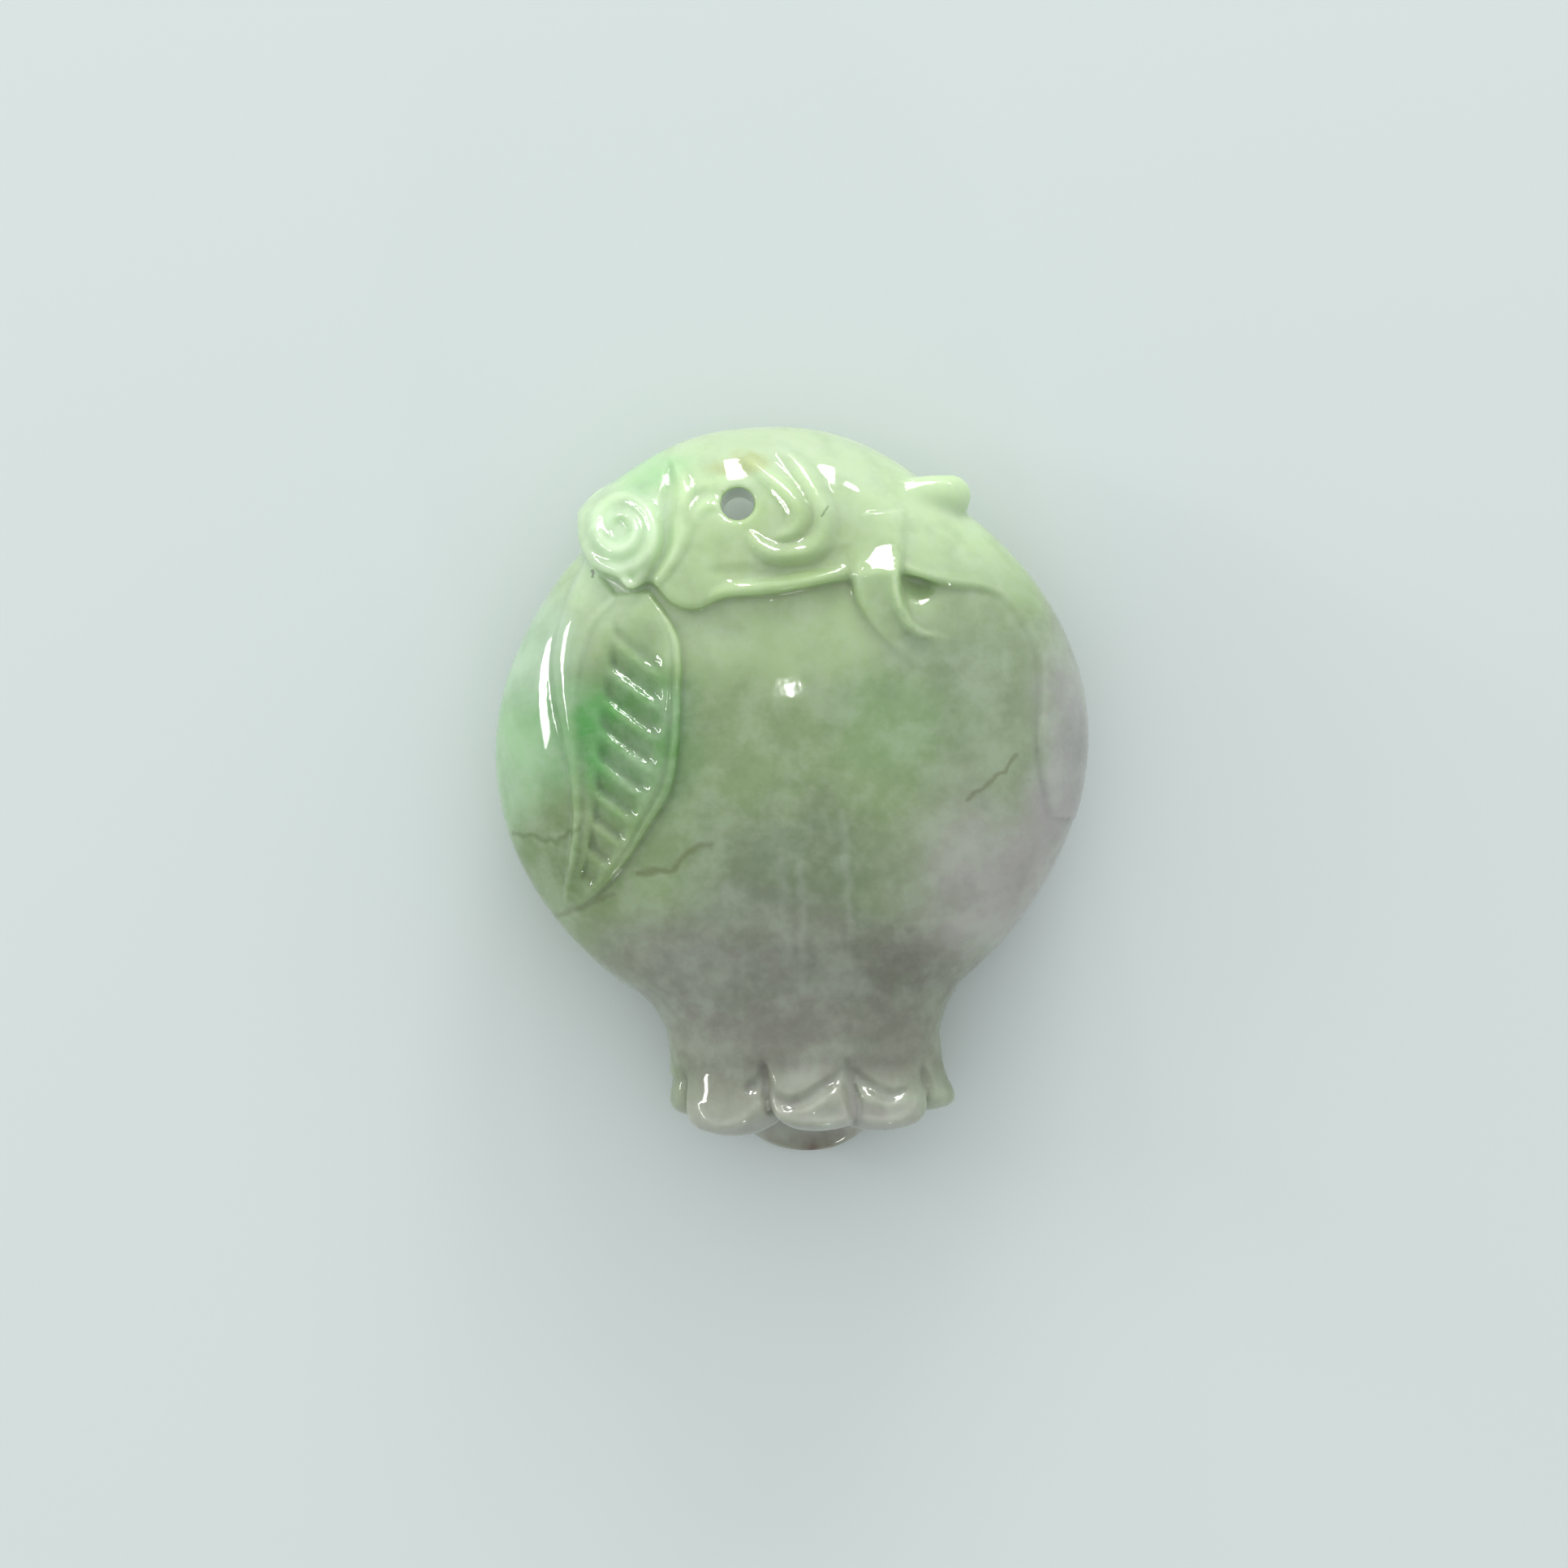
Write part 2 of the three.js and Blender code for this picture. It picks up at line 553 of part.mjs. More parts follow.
const mesh = carving.getMesh();
const shape = new THREE.BufferGeometry();
shape.setAttribute("position", new THREE.BufferAttribute(new Float32Array(mesh.vertProperties), 3));
shape.setIndex(new THREE.BufferAttribute(new Uint32Array(mesh.triVerts), 1));
const geometry = mergeVertices(shape, 1e-3);
geometry.computeBoundingBox();
const middle = geometry.boundingBox.getCenter(new THREE.Vector3());
geometry.translate(-middle.x, -middle.y, 0);

const jadeite = new THREE.MeshStandardMaterial({ color: 0x9db88a, roughness: 0.12, metalness: 0 });
const pendant = new THREE.Mesh(geometry, jadeite);
pendant.name = "jadeite_pendant";
const group = new THREE.Group();
group.add(pendant);
export default group;
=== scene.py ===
import math

import bpy
import numpy as np
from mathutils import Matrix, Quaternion, Vector


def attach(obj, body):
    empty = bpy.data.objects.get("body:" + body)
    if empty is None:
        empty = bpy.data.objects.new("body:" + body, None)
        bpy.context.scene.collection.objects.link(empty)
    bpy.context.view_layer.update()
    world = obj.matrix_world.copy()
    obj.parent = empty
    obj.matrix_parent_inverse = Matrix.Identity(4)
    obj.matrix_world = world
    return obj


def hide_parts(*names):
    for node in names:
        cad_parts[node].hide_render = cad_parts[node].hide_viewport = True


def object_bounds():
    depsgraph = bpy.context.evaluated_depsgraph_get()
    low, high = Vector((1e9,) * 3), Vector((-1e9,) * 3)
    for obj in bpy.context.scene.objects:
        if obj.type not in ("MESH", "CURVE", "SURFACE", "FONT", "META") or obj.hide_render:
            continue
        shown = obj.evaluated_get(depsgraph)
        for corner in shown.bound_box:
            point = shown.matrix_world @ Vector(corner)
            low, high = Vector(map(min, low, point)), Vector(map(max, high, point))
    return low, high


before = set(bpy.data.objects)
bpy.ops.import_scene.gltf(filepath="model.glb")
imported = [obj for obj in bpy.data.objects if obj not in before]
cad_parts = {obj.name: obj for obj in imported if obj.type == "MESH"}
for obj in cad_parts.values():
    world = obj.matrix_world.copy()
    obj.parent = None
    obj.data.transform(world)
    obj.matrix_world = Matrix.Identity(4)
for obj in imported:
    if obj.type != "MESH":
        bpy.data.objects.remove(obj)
solid_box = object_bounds()
MM = 0.001

# The bag is a pillow: a nearly round outline whose two faces bulge from one level rim.
BAG_Y = 2.67
BAG_RADIUS = 17.18
BAG_SAG, BAG_SKEW, BAG_SQUARENESS, BAG_TURN = 0.24, 0.11, 0.24, 0.4
RIM_Z = 5.2
FRONT_RISE = 7.0
BACK_DROP = 5.4
DOME_POWER = 2.4

# The cap stands proud of the bag and hangs over it at the drilled end. Angles are in degrees from +X.
CAP_RISE = 0.75
CAP_BACK_RISE = 0.3
CAP_RADIUS = 18.5
CAP_RUNOUT = (52, 92)
CAP_CROWN, CAP_CROWN_AT, CAP_CROWN_SPREAD = 0.3, 108, 12

# Where the cap ends on the front, from the curl on the left, along the ledge, to low on the right side. Its
# edge on the back has the same ends, and the two edges merge within a height either side of the rim.
CAP_LEFT_END = (-14, 17.4)
CAP_RIGHT_END = (15.1, -1.6)
CAP_EDGE = [
    CAP_LEFT_END, (-11.2, 14.3), (-9.5, 11.5), (-8.1, 11.8), (-6.9, 10.6), (-5.5, 10.2), (-3.8, 10.85),
    (-0.8, 11.1), (3.1, 11.9), (6.3, 12.3), (9, 11.6), (11.8, 11.3), (13.7, 9.2), (14.5, 6.2), (14.3, 2.5),
    CAP_RIGHT_END,
]
CAP_BACK_EDGE = [CAP_LEFT_END, (-8, 12.4), (0, 10.6), (8, 10.2), (13.3, 5.5), CAP_RIGHT_END]
CAP_EDGES_MERGE = 1.5
CAP_EDGE_ROUNDING = 0.5

# The neck narrows under the bag, with a fillet of its own on each side, down to the mouth. Its sides take
# over from the bag's round one height, and its faces sink into the mouth from another.
NECK_X = 0.8
NECK_HALF_WIDTH = 7.9
NECK_FRONT = 4.1
NECK_BACK = 3.3
NECK_FOOT_Y = -16.7
NECK_TOP_Y, NECK_TOP_BLEND = -11.5, 0.4
NECK_SINKS_FROM, NECK_SINKS = -14.9, 0.75
LEFT_FILLET = (4.8, -15.8)
RIGHT_FILLET = (5.7, -15.0)

# The bag's faces run into the neck's with a softness that grows between two distances below its middle.
NECK_SOFTNESS = 1.6
NECK_SOFTENS = (2, 13)

# Under the cap the bag ends here, out of sight.
BAG_END_Y = 17.5

# The mouth's petals: the angle from the front toward +X where each begins, the notch there, its tip and its
# lean. Under 1, the lean moves the tip toward the beginning.
PETALS = [
    (-19, -18.2, -19.8, 1),
    (19.5, -19.4, -19.85, 1),
    (58, -17.9, -18.9, 1),
    (113, -17.9, -19.5, 1),
    (150, -19.0, -21.55, 1),
    (216, -19.0, -20.1, 1),
    (247, -18.0, -19.3, 1),
    (292, -18.2, -20.2, 0.8),
]
PETAL_POWER = 0.8

# The mouth's middle moves from the neck's at its top to MOUTH_X at a height lower down. The hollow in it is
# an ellipsoid: its middle and half sizes. Toward the mouth's middle the petals run together at one height,
# between two shares of the way out. The relief on its front sets in above the rim.
MOUTH_TOP_Y = -14.6
MOUTH_X, MOUTH_X_Y = 1.25, -18.2
MOUTH_HOLLOW = ((MOUTH_X, -21.4, RIM_Z), (5.4, 3.4, 2.7))
MOUTH_INNER_Y, MOUTH_INNER = -19.2, (0.35, 0.8)
MOUTH_RELIEF_RISES = 2
FOOT_ROUNDING = 0.7

# The mouth's profile from the neck down to its edge: share of the way down, half sizes at the notches, and
# how far the petals bulge out between them. Angles round the mouth are taken from one row's half sizes.
MOUTH_DOWN = (0, 0.28, 0.52, 0.74, 0.9, 1)
MOUTH_HALF_X = (NECK_HALF_WIDTH, 7.75, 7.55, 7.6, 7.4, 6.95)
MOUTH_HALF_FRONT = (NECK_FRONT, 4.05, 4.1, 4.15, 4.1, 3.7)
MOUTH_HALF_BACK = (NECK_BACK, 3.45, 3.75, 3.9, 3.75, 3.3)
MOUTH_BULGE = (0, 0.2, 0.55, 0.8, 0.8, 0.55)
MOUTH_ANGLE_ROW = 3

# On the front, a lip follows each petal's edge. Creases part the petals, and another round the top of each
# petal sets it off from the folds of the neck.
PETAL_LIPS = [
    ([(-5.5, -18.4), (-5.0, -19.2), (-4.2, -19.6), (-3.2, -19.3), (-2.2, -18.5), (-1.6, -17.9)], 0.5, 0.2),
    ([(-0.7, -18.6), (0.1, -19.2), (1.1, -19.3), (2.3, -19.25), (3.1, -18.9)], 0.5, 0.22),
    ([(4.1, -19.0), (5.0, -19.3), (6.0, -19.2), (6.9, -18.7), (7.3, -17.9)], 0.5, 0.2),
]
PETAL_CREASES = [
    ([(-6.0, -16.2), (-6.1, -17.4), (-5.9, -18.9)], 0.5, -0.2),
    ([(-1.7, -15.8), (-1.6, -16.8), (-1.4, -17.8), (-1.2, -18.8)], 0.6, -0.45),
    ([(3.2, -15.6), (3.3, -16.7), (3.5, -17.9), (3.7, -19.6)], 0.6, -0.45),
    ([(7.6, -16.2), (7.8, -17.4), (7.6, -18.8)], 0.5, -0.2),
    ([(-2.8, -17.4), (-2.1, -17.1), (-1.7, -16.4)], 0.55, -0.34),
    ([(-1.3, -16.9), (-1.0, -17.7), (-0.2, -18.1), (0.7, -17.95), (1.6, -17.35), (2.5, -16.7), (3.0, -16.0)],
     0.55, -0.4),
    ([(3.6, -16.1), (4.1, -16.8), (4.9, -17.4), (5.8, -17.7), (6.6, -17.4)], 0.55, -0.38),
]

# Two petals swell beside the crease between them. Each is its middle, half sizes and depth, under 0 here.
PETAL_SHOULDERS = [((2.3, -17.75), (0.6, 0.55), -0.26), ((4.8, -17.75), (0.7, 0.6), -0.28)]

CORD_HOLE = (-3.1, 16.33)
CORD_HOLE_RADIUS = 0.97

# The curl at the cap's left end: a knob whose face winds in along a spiral ridge to a pit, each over a span
# in shares of its radius. The height over its sloping face is scaled to be near a distance.
CURL = (-9.95, 14.95)
CURL_RADIUS = 2.55
CURL_AXIS = (0.33, -0.944)
CURL_LONG = 1.15
CURL_RISE, CURL_SQUARENESS = 0.75, 4
CURL_SUNK = 1.4
CURL_TAPER = 0.5
CURL_OVERHANG = 0.6
CURL_PITCH = 1.25
CURL_TURN = 2.2
CURL_RIDGE, CURL_WINDS_FROM = 0.18, (0.1, 0.35)
CURL_PIT, CURL_PIT_SPAN = 0.6, (0.1, 0.4)
CURL_FACE_SCALE, CURL_ROUNDING = 0.8, 0.9

# The stubby roll at the cap's right end: its drooping axis, and its radius at places along X.
EAR_Y, EAR_Z, EAR_DROOP = 17.05, 7.6, 0.25
EAR_X = (6.2, 7, 8, 9.3)
EAR_RADIUS = (0.5, 0.95, 1.15, 1.2)

# Within what distance each form blends into the rest, and how far each cut's edge is rounded.
CAP_BLEND, MOUTH_BLEND, CURL_BLEND, EAR_BLEND = 0.4, 0.3, 0.4, 0.6
HOLLOW_ROUNDING, HOLE_ROUNDING, REST_ROUNDING = 0.6, 0.35, 0.1

# A ridge's or groove's share of its size at its ends, and the powers of its swelling and of its flanks.
STROKE_END, STROKE_SWELL, STROKE_FLANK = 0.35, 0.6, 1.5

# Ridges and grooves on the cap: their course, half width and height over the face. They are the scroll, the
# drop-shaped tail of the curl, the fold beside it, the hook at the hole, and the ledge's lip and valley.
CAP_RIDGES = [
    ([(-0.5, 19.6), (0.3, 18.8), (0.95, 17.7), (1.6, 16.4), (1.9, 15.3), (1.6, 14.15), (0.7, 13.5),
      (-0.7, 13.35), (-1.8, 13.8), (-2.35, 14.5)], 0.85, 0.55),
    ([(-2.5, 19), (-1.15, 17.8), (-0.15, 16.8), (0.4, 15.75), (0.1, 14.8), (-0.7, 14.4)], 0.85, 0.6),
    ([(-12.2, 13.7), (-11.4, 12.8), (-10.4, 12.0), (-9.3, 11.4), (-8.7, 11.6)], 0.95, 0.6),
    ([(-7.9, 15.4), (-8.0, 14.0), (-8.4, 12.8), (-9.0, 11.8)], 0.75, 0.4),
    ([(-6.7, 18.6), (-6.15, 17), (-6.2, 15.3), (-6.6, 13.7), (-7.9, 11.5)], 0.65, 0.36),
    ([(-4.6, 10.9), (-3.7, 11.2), (-0.8, 11.5), (2.1, 12.05), (3.1, 12.5)], 0.65, 0.36),
    ([(6.4, 12.9), (7.3, 12.3), (9.0, 11.95), (10.6, 11.75), (12.1, 11.3)], 0.5, 0.24),
    ([(-4.2, 16.2), (-5.0, 16.25), (-5.6, 15.7), (-5.5, 15.0)], 0.5, 0.22),
]
CAP_GROOVES = [
    ([(-7.1, 18.9), (-7.0, 17.6), (-7.2, 16.2), (-7.3, 14.8), (-7.4, 13.4), (-8.3, 11.9)], 0.6, -0.4),
    ([(-3.9, 16.9), (-5.2, 16.95), (-6.0, 16.1), (-6.1, 15)], 0.5, -0.2),
    ([(-4.6, 12.4), (-2.4, 12.3), (0.2, 12.5), (2.3, 13.1), (3.2, 13.8)], 0.8, -0.2),
]

# The strap that drops from the cap over the ledge and hooks to the right: its two sides, its height from
# top to tip, and its profile across as shares of its width and of that height.
STRAP_LEFT = [
    (3.9, 15.6), (3.5, 13.9), (3.45, 12.2), (3.8, 10.7), (4.7, 9.3), (5.8, 8.2), (7.1, 7.2), (8.7, 6.7),
]
STRAP_RIGHT = [
    (6.4, 16), (6.4, 14), (6.25, 12.3), (6.35, 10.9), (6.8, 9.8), (7.6, 9.1), (8.5, 8.8), (9.6, 8.6),
]
STRAP_HEIGHT = (0.45, 0.65, 1.3, 0.95, 0.55, 0.28, 0.12, 0)
STRAP_ACROSS = ((0, 0.14, 0.5, 0.86, 1), (0.45, 0.88, 1.0, 1.1, 0.65))
STRAP_PIT = ((7.3, 11.9), (1.0, 1.1), 0.9)
STRAP_RIMS = [
    ([(3.7, 12.6), (3.75, 11.4), (4.1, 10.3), (5.3, 8.7), (6.8, 7.4), (8.2, 6.7)], 0.35, 0.1),
    ([(6.2, 13.4), (6.05, 12.2), (6.1, 11.2), (6.45, 9.9), (7.1, 9.0), (8.1, 8.75)], 0.45, 0.42),
]
STRAP_HOLLOW = ([(5.0, 12.2), (5.0, 11.2), (5.3, 10.2)], 0.9, -0.16)

# The leaf's left margin, midrib and right margin, from under the curl to the tip. Its height grows from a
# share at the top and falls to nothing at the tip. One profile runs from the left margin to the midrib, and
# another on from there to the right margin.
LEAF_LEFT = [
    (-12, 13.3), (-13.2, 10.2), (-13.75, 7.6), (-13.6, 5.2), (-13.15, 3), (-12.75, 0.7), (-12.6, -1.8),
    (-12.9, -4.4), (-13.3, -6.9),
]
LEAF_MIDRIB = [
    (-10.2, 11), (-10.75, 8.8), (-11.1, 6.9), (-11.4, 4.9), (-11.55, 2.9), (-11.65, 0.6), (-11.75, -1.8),
    (-12.1, -4.4), (-13.1, -6.95),
]
LEAF_RIGHT = [
    (-8.2, 11.2), (-6.5, 8.4), (-6.4, 4.6), (-6.55, 2.1), (-6.95, -0.1), (-8.1, -2), (-9.5, -4.1),
    (-11.2, -5.9), (-12.9, -7),
]
LEAF_RISE = 0.35
LEAF_TOP, LEAF_TOP_GROWS, LEAF_TIP_FALLS = 0.5, 5, 6
LEAF_OUTER = ((0, 0.1, 0.3, 0.45, 0.6, 0.8, 1), (0.1, 0.4, 0.49, 0.42, 0.32, 0.3, 0.34))
LEAF_INNER = ((0, 0.06, 0.14, 0.84, 0.9, 0.95, 1), (0.34, 0.32, 0.3, 0.26, 0.12, 0.28, 0.06))

# The side veins are grooves that repeat down the midrib. They begin under the leaf's pit and run between
# two spans of the way from the midrib to the right margin, over which they deepen and fade.
VEIN_DEPTH = 0.5
VEIN_TOP_Y, VEIN_BEGINS = 10.9, (0.5, 2)
VEIN_PITCH = 1.8
VEIN_DROP, VEIN_BEND = 0.95, 0.85
VEIN_FALL = 0.66
VEIN_DEEPENS, VEIN_FADES = (0.05, 0.2), (0.66, 0.84)
LEAF_PIT = ((-8.0, 8.0), (0.85, 1.3), 0.34)
LEAF_FOLD = ([(-10.0, 11.2), (-11.7, 9.3), (-12.35, 7.2), (-12.6, 5.3)], 0.4, 0.14)

# The camera's lens and sensor, and what it takes in at the height of the part's rim, in millimetres.
FOCAL_LENGTH = 90
SENSOR_WIDTH = 36
FRAME_WIDTH = 92
FRAME_MIDDLE = (-0.48, 0.415)

# The sky's strength runs from the mouth's side to the drilled end's. Half the floor's width is in metres.
SKY_COLOUR = (238, 242, 244)
SKY_STRENGTH = (0.55, 1.42)
FLOOR_COLOUR = (209, 217, 214)
FLOOR_ROUGHNESS = 0.6
FLOOR_HALF = 1.5

# The lamps face the part: place and size in metres, watts, and roll in degrees from level.
LAMPS = [
    ("front_lamp", (-0.001, 0.05, 0.41), (0.0022, 0.011), 0.009, 0),
    ("top_lamp", (0.063, 0.446, 0.125), (0.13, 0.13), 0.7, 0),
    ("ledge_lamp", (-0.068, 0.431, 0.109), (0.03, 0.14), 0.2, 0),
    ("shoulder_lamp", (0.161, 0.399, 0.132), (0.03, 0.02), 0.047, 0),
    ("left_lamp", (-0.418, 0.12, 0.1165), (0.28, 0.034), 0.42, 50),
    ("mouth_lamp", (0.1, -0.41, 0.12), (0.05, 0.04), 0.1, 0),
]

# Healed cracks and small dark nicks in the stone, and pale streaks that are painted highlights of uncarved
# folds on
# the lower belly: course, half width, colour and strength.
CRACKS_NICKS_AND_PAINTED_HIGHLIGHTS = [
    ([(-16.2, -2.5), (-14.9, -2.6), (-13.6, -3.0), (-12.2, -2.1)], 0.28, (90, 112, 50), 0.5),
    ([(-8.8, -4.7), (-6.8, -4.4), (-5.9, -3.4), (-4.7, -3.0)], 0.34, (98, 102, 46), 0.5),
    ([(10.0, -0.4), (10.9, 0.1), (11.6, 0.9), (12.3, 1.2), (12.9, 2.1)], 0.24, (104, 106, 58), 0.5),
    ([(-13.7, -7.3), (-12.7, -6.9), (-10.9, -6.3), (-10.3, -6.0)], 0.28, (96, 100, 60), 0.4),
    ([(1.65, 15.75), (2.0, 16.25)], 0.1, (70, 84, 52), 0.6),
    ([(-11.6, 12.7), (-11.55, 12.3)], 0.1, (70, 84, 62), 0.7),
    # These three pale streaks are painted highlights, standing for folds on the lower belly that are not
    # carved.
    ([(2.8, -1.3), (3.1, -4.5), (3.3, -8.4)], 0.5, (184, 194, 180), 0.22),
    ([(-0.8, -2.3), (-0.5, -6.0), (-0.3, -9.8)], 0.6, (170, 182, 166), 0.2),
    ([(0.4, -4.2), (0.6, -7.8), (0.5, -11.5)], 0.45, (176, 186, 172), 0.2),
]

# The stone's colour clouds: middle and half sizes in millimetres, colour and strength. They are pale at the
# crown and grey at the neck partly as painted light and painted shade. A cloud fades out between two shares
# of its half sizes. The clouds stray by one noise and the streaks by another, each given by its scale and
# detail.
CLOUD_FADE = (1.2, 0.3)
CLOUD_NOISE, CLOUD_STRAYS = (0.2, 3), (5, 5, 5)
STREAK_NOISE, STREAK_STRAYS = (0.9, 3), (0.7, 0.7, 0)
STONE_COLOUR = (140, 162, 111)
CLOUDS_WITH_PAINTED_LIGHT_AND_SHADE = [
    # This pale cloud at the crown, and the one at (0, 21.5), are partly the stone's own colour and partly
    # painted light.
    ((0, 20), (26, 13), (200, 224, 174), 1.0),
    ((0, 9), (10, 3.5), (176, 198, 148), 0.65),
    ((0, 21.5), (12, 4), (186, 202, 168), 0.8),
    ((6, 17.5), (8, 5), (200, 220, 178), 0.55),
    ((0, 14), (8, 4), (158, 180, 122), 0.75),
    ((-10, 14.8), (4.2, 4.4), (206, 229, 192), 0.95),
    ((-8.4, 18.8), (3.4, 1.8), (160, 206, 152), 0.7),
    ((10, 6), (6.5, 7), (139, 155, 122), 0.75),
    ((6, 4), (5, 4), (138, 170, 114), 0.6),
    ((-16.5, 4), (3.6, 9), (166, 204, 158), 0.9),
    ((-13.5, 4), (2.6, 5), (128, 176, 118), 0.8),
    ((-9, 3.4), (4, 6), (94, 148, 76), 0.9),
    ((-11.4, 3.2), (1.7, 2.8), (76, 158, 66), 0.95),
    ((-15, 9), (3, 4), (192, 214, 190), 0.6),
    ((-3.3, 18.9), (1.4, 0.8), (172, 172, 96), 0.5),
    ((-14, -4.5), (4.6, 5), (119, 143, 88), 0.85),
    ((0, -4.5), (7, 5), (116, 128, 102), 0.7),
    ((17, 1), (4.2, 13), (171, 168, 168), 0.95),
    ((13, -6), (8, 8), (177, 171, 170), 0.9),
    # These three grey clouds over the lower belly and neck are partly the stone's own grey and partly
    # painted shade.
    ((-3, -11), (12, 6), (136, 133, 126), 0.9),
    ((6, -11), (7, 4), (120, 116, 108), 0.8),
    ((0.8, -15), (13, 4), (134, 132, 120), 0.95),
    ((1, -20.4), (18, 4.4), (168, 166, 158), 1.0),
    # This dark cloud is painted shade at the foot of the back petal, below the front petals.
    ((1.8, -21.7), (4.6, 2.2), (98, 76, 64), 1.0),
]

# Mottling over the clouds, of pale cotton, darker shade and fine grain: how far its noise is set aside, the
# noise's scale, detail and roughness, the span of it that the colour comes in over, colour and strength.
MOTTLES = [
    ((0, 0, 0), (0.32, 5, 0.6), (0.4, 0.7), (206, 220, 200), 0.24),
    ((40, 20, 10), (0.42, 5, 0.6), (0.42, 0.72), (98, 118, 86), 0.2),
    ((0, 0, 0), (1.3, 4, 0.65), (0.35, 0.65), (186, 200, 176), 0.1),
]

# The polish varies a little with a noise, and a faint ripple breaks the reflections. The glow is how far
# red, green and blue light spread in the stone, as shares of a depth in metres.
POLISH_NOISE, POLISH_SPAN, POLISH_ROUGHNESS = (0.5, 3), (0.3, 0.7), (0.035, 0.06)
RIPPLE_NOISE, RIPPLE_STRENGTH, RIPPLE_HEIGHT = (0.9, 2), 0.05, 0.0001
REFRACTION = 1.66
GLOW, GLOW_DEPTH = (1.0, 1.15, 0.9), 0.0012
CLEARNESS = 0.08

# Farther from a streak than any place in the stone.
FAR = 1000.0

# The plan that reliefs and the cap's edges are kept on, read no nearer its far edges than a margin in
# steps. The cap's outline is closed OUTSIDE it, from one height on the left and another on the right.
PLAN_STEP = 0.06
PLAN_HALF = (19.2, 22.4)
PLAN_MARGIN = 1.001
OUTSIDE = 24
OUTSIDE_LEFT_Y, OUTSIDE_RIGHT_Y = 18, -2.5

# How far polishing softens relief, finer on the bag, and how many radii a softening reaches.
SOFTENING, BAG_SOFTENING = 0.1, 0.08
SOFTENING_REACH = 2.5

# Points along a stroke, a cap edge and the mouth's profile, and the rows and columns of the leaf and strap.
# A sheet of them lies where its weight on the plan is over SHEET_LEAST.
STROKE_POINTS, EDGE_POINTS, PROFILE_POINTS = 60, 90, 80
PETAL_POINTS_A_DEGREE = 2
LEAF_ROWS, LEAF_OUTER_COLUMNS, LEAF_INNER_COLUMNS = 700, 110, 200
STRAP_ROWS, STRAP_COLUMNS = 320, 90
SHEET_LEAST = 0.3

# The stone's own grid is close where the carving is fine: over the leaf, over the cap and over the mouth.
GRID_LOW = (-19, -22, -0.6)
GRID_HIGH = (19, 22.4, 13.6)
FINE_STEP, COARSE_STEP, UP_STEP = 0.15, 0.27, 0.25
FINE_X = [(-14.2, -5.8)]
FINE_Y = [(-21.8, -15.4), (8.5, 20)]

# Slopes are probed over small steps, of one form and of the whole carving, and taken as no less than these.
# A form's distance is told up to FARTHEST. Points settle on the surface in moves of limited length, and are
# drawn part of the way to the middle of their neighbours.
PROBE, SURFACE_PROBE = 0.02, 0.01
LEAST_SLOPE, LEAST_SLOPE_SQUARED = 0.02, 0.1
FARTHEST = 3
SETTLE_ROUNDS, LONGEST_MOVE = 3, 0.15
EVEN_ROUNDS, EVEN_SHARE = 2, 0.5

# These keep a square over zero before its root is taken, and a weight over zero before it divides.
LEAST_SQUARE = 0.01
LEAST_WEIGHT = 1e-9


def curve(points, count):
    """A smooth curve through the points, evenly stepped in its parameter."""
    p = np.array(points, float)
    p = np.vstack([2 * p[0] - p[1], p, 2 * p[-1] - p[-2]])
    t = np.linspace(0, len(points) - 1, count)
    i = np.minimum(t.astype(int), len(points) - 2)
    f = (t - i)[:, None]
    a, b, c, d = p[i], p[i + 1], p[i + 2], p[i + 3]
    return 0.5 * (2 * b + (c - a) * f + (2 * a - 5 * b + 4 * c - d) * f**2 + (3 * (b - c) + d - a) * f**3)


def smoothstep(value, low, high):
    t = np.clip((value - low) / (high - low), 0, 1)
    return t * t * (3 - 2 * t)


def dome(share):
    return np.sqrt(np.maximum(0, 1 - np.abs(share) ** DOME_POWER))


def smooth_min(a, b, reach):
    """The lower of two distances, blended where they differ by less than a reach."""
    return np.minimum(a, b) - np.maximum(0, reach - np.abs(a - b)) ** 2 / (4 * reach)


def smooth_max(a, b, reach):
    return -smooth_min(-a, -b, reach)


def bag_radius(angle):
    flaws = -BAG_SAG * np.sin(angle) + BAG_SKEW * np.sin(2 * angle)
    return BAG_RADIUS + flaws + BAG_SQUARENESS * np.cos(4 * angle - BAG_TURN)


def cap_radius(angle):
    degrees = np.degrees(angle)
    crown = CAP_CROWN * np.exp(-(((degrees - CAP_CROWN_AT) / CAP_CROWN_SPREAD) ** 2))
    over = smoothstep(degrees, *CAP_RUNOUT)
    return bag_radius(angle) * (1 - over) + (CAP_RADIUS + crown) * over


def fillet_reach(fillet, y):
    """How far a quarter-round fillet has left its straight side at a height."""
    radius, start = fillet
    up = np.clip(y - start, 0, radius)
    return radius - np.sqrt(radius * radius - up * up)


def side_reach(y, side):
    """How far the bag, or below it the neck, reaches to one side of the bag's middle at a height."""
    neck = NECK_HALF_WIDTH + fillet_reach(LEFT_FILLET if side < 0 else RIGHT_FILLET, y) + side * NECK_X
    up = y - BAG_Y
    level = np.sqrt(np.maximum(LEAST_SQUARE, BAG_RADIUS**2 - up * up))
    radius = bag_radius(np.arctan2(up, side * level))
    bag = np.sqrt(np.maximum(LEAST_SQUARE, radius**2 - up * up))
    over = smoothstep(y, NECK_TOP_Y - NECK_TOP_BLEND, NECK_TOP_Y + NECK_TOP_BLEND)
    return neck * (1 - over) + bag * over


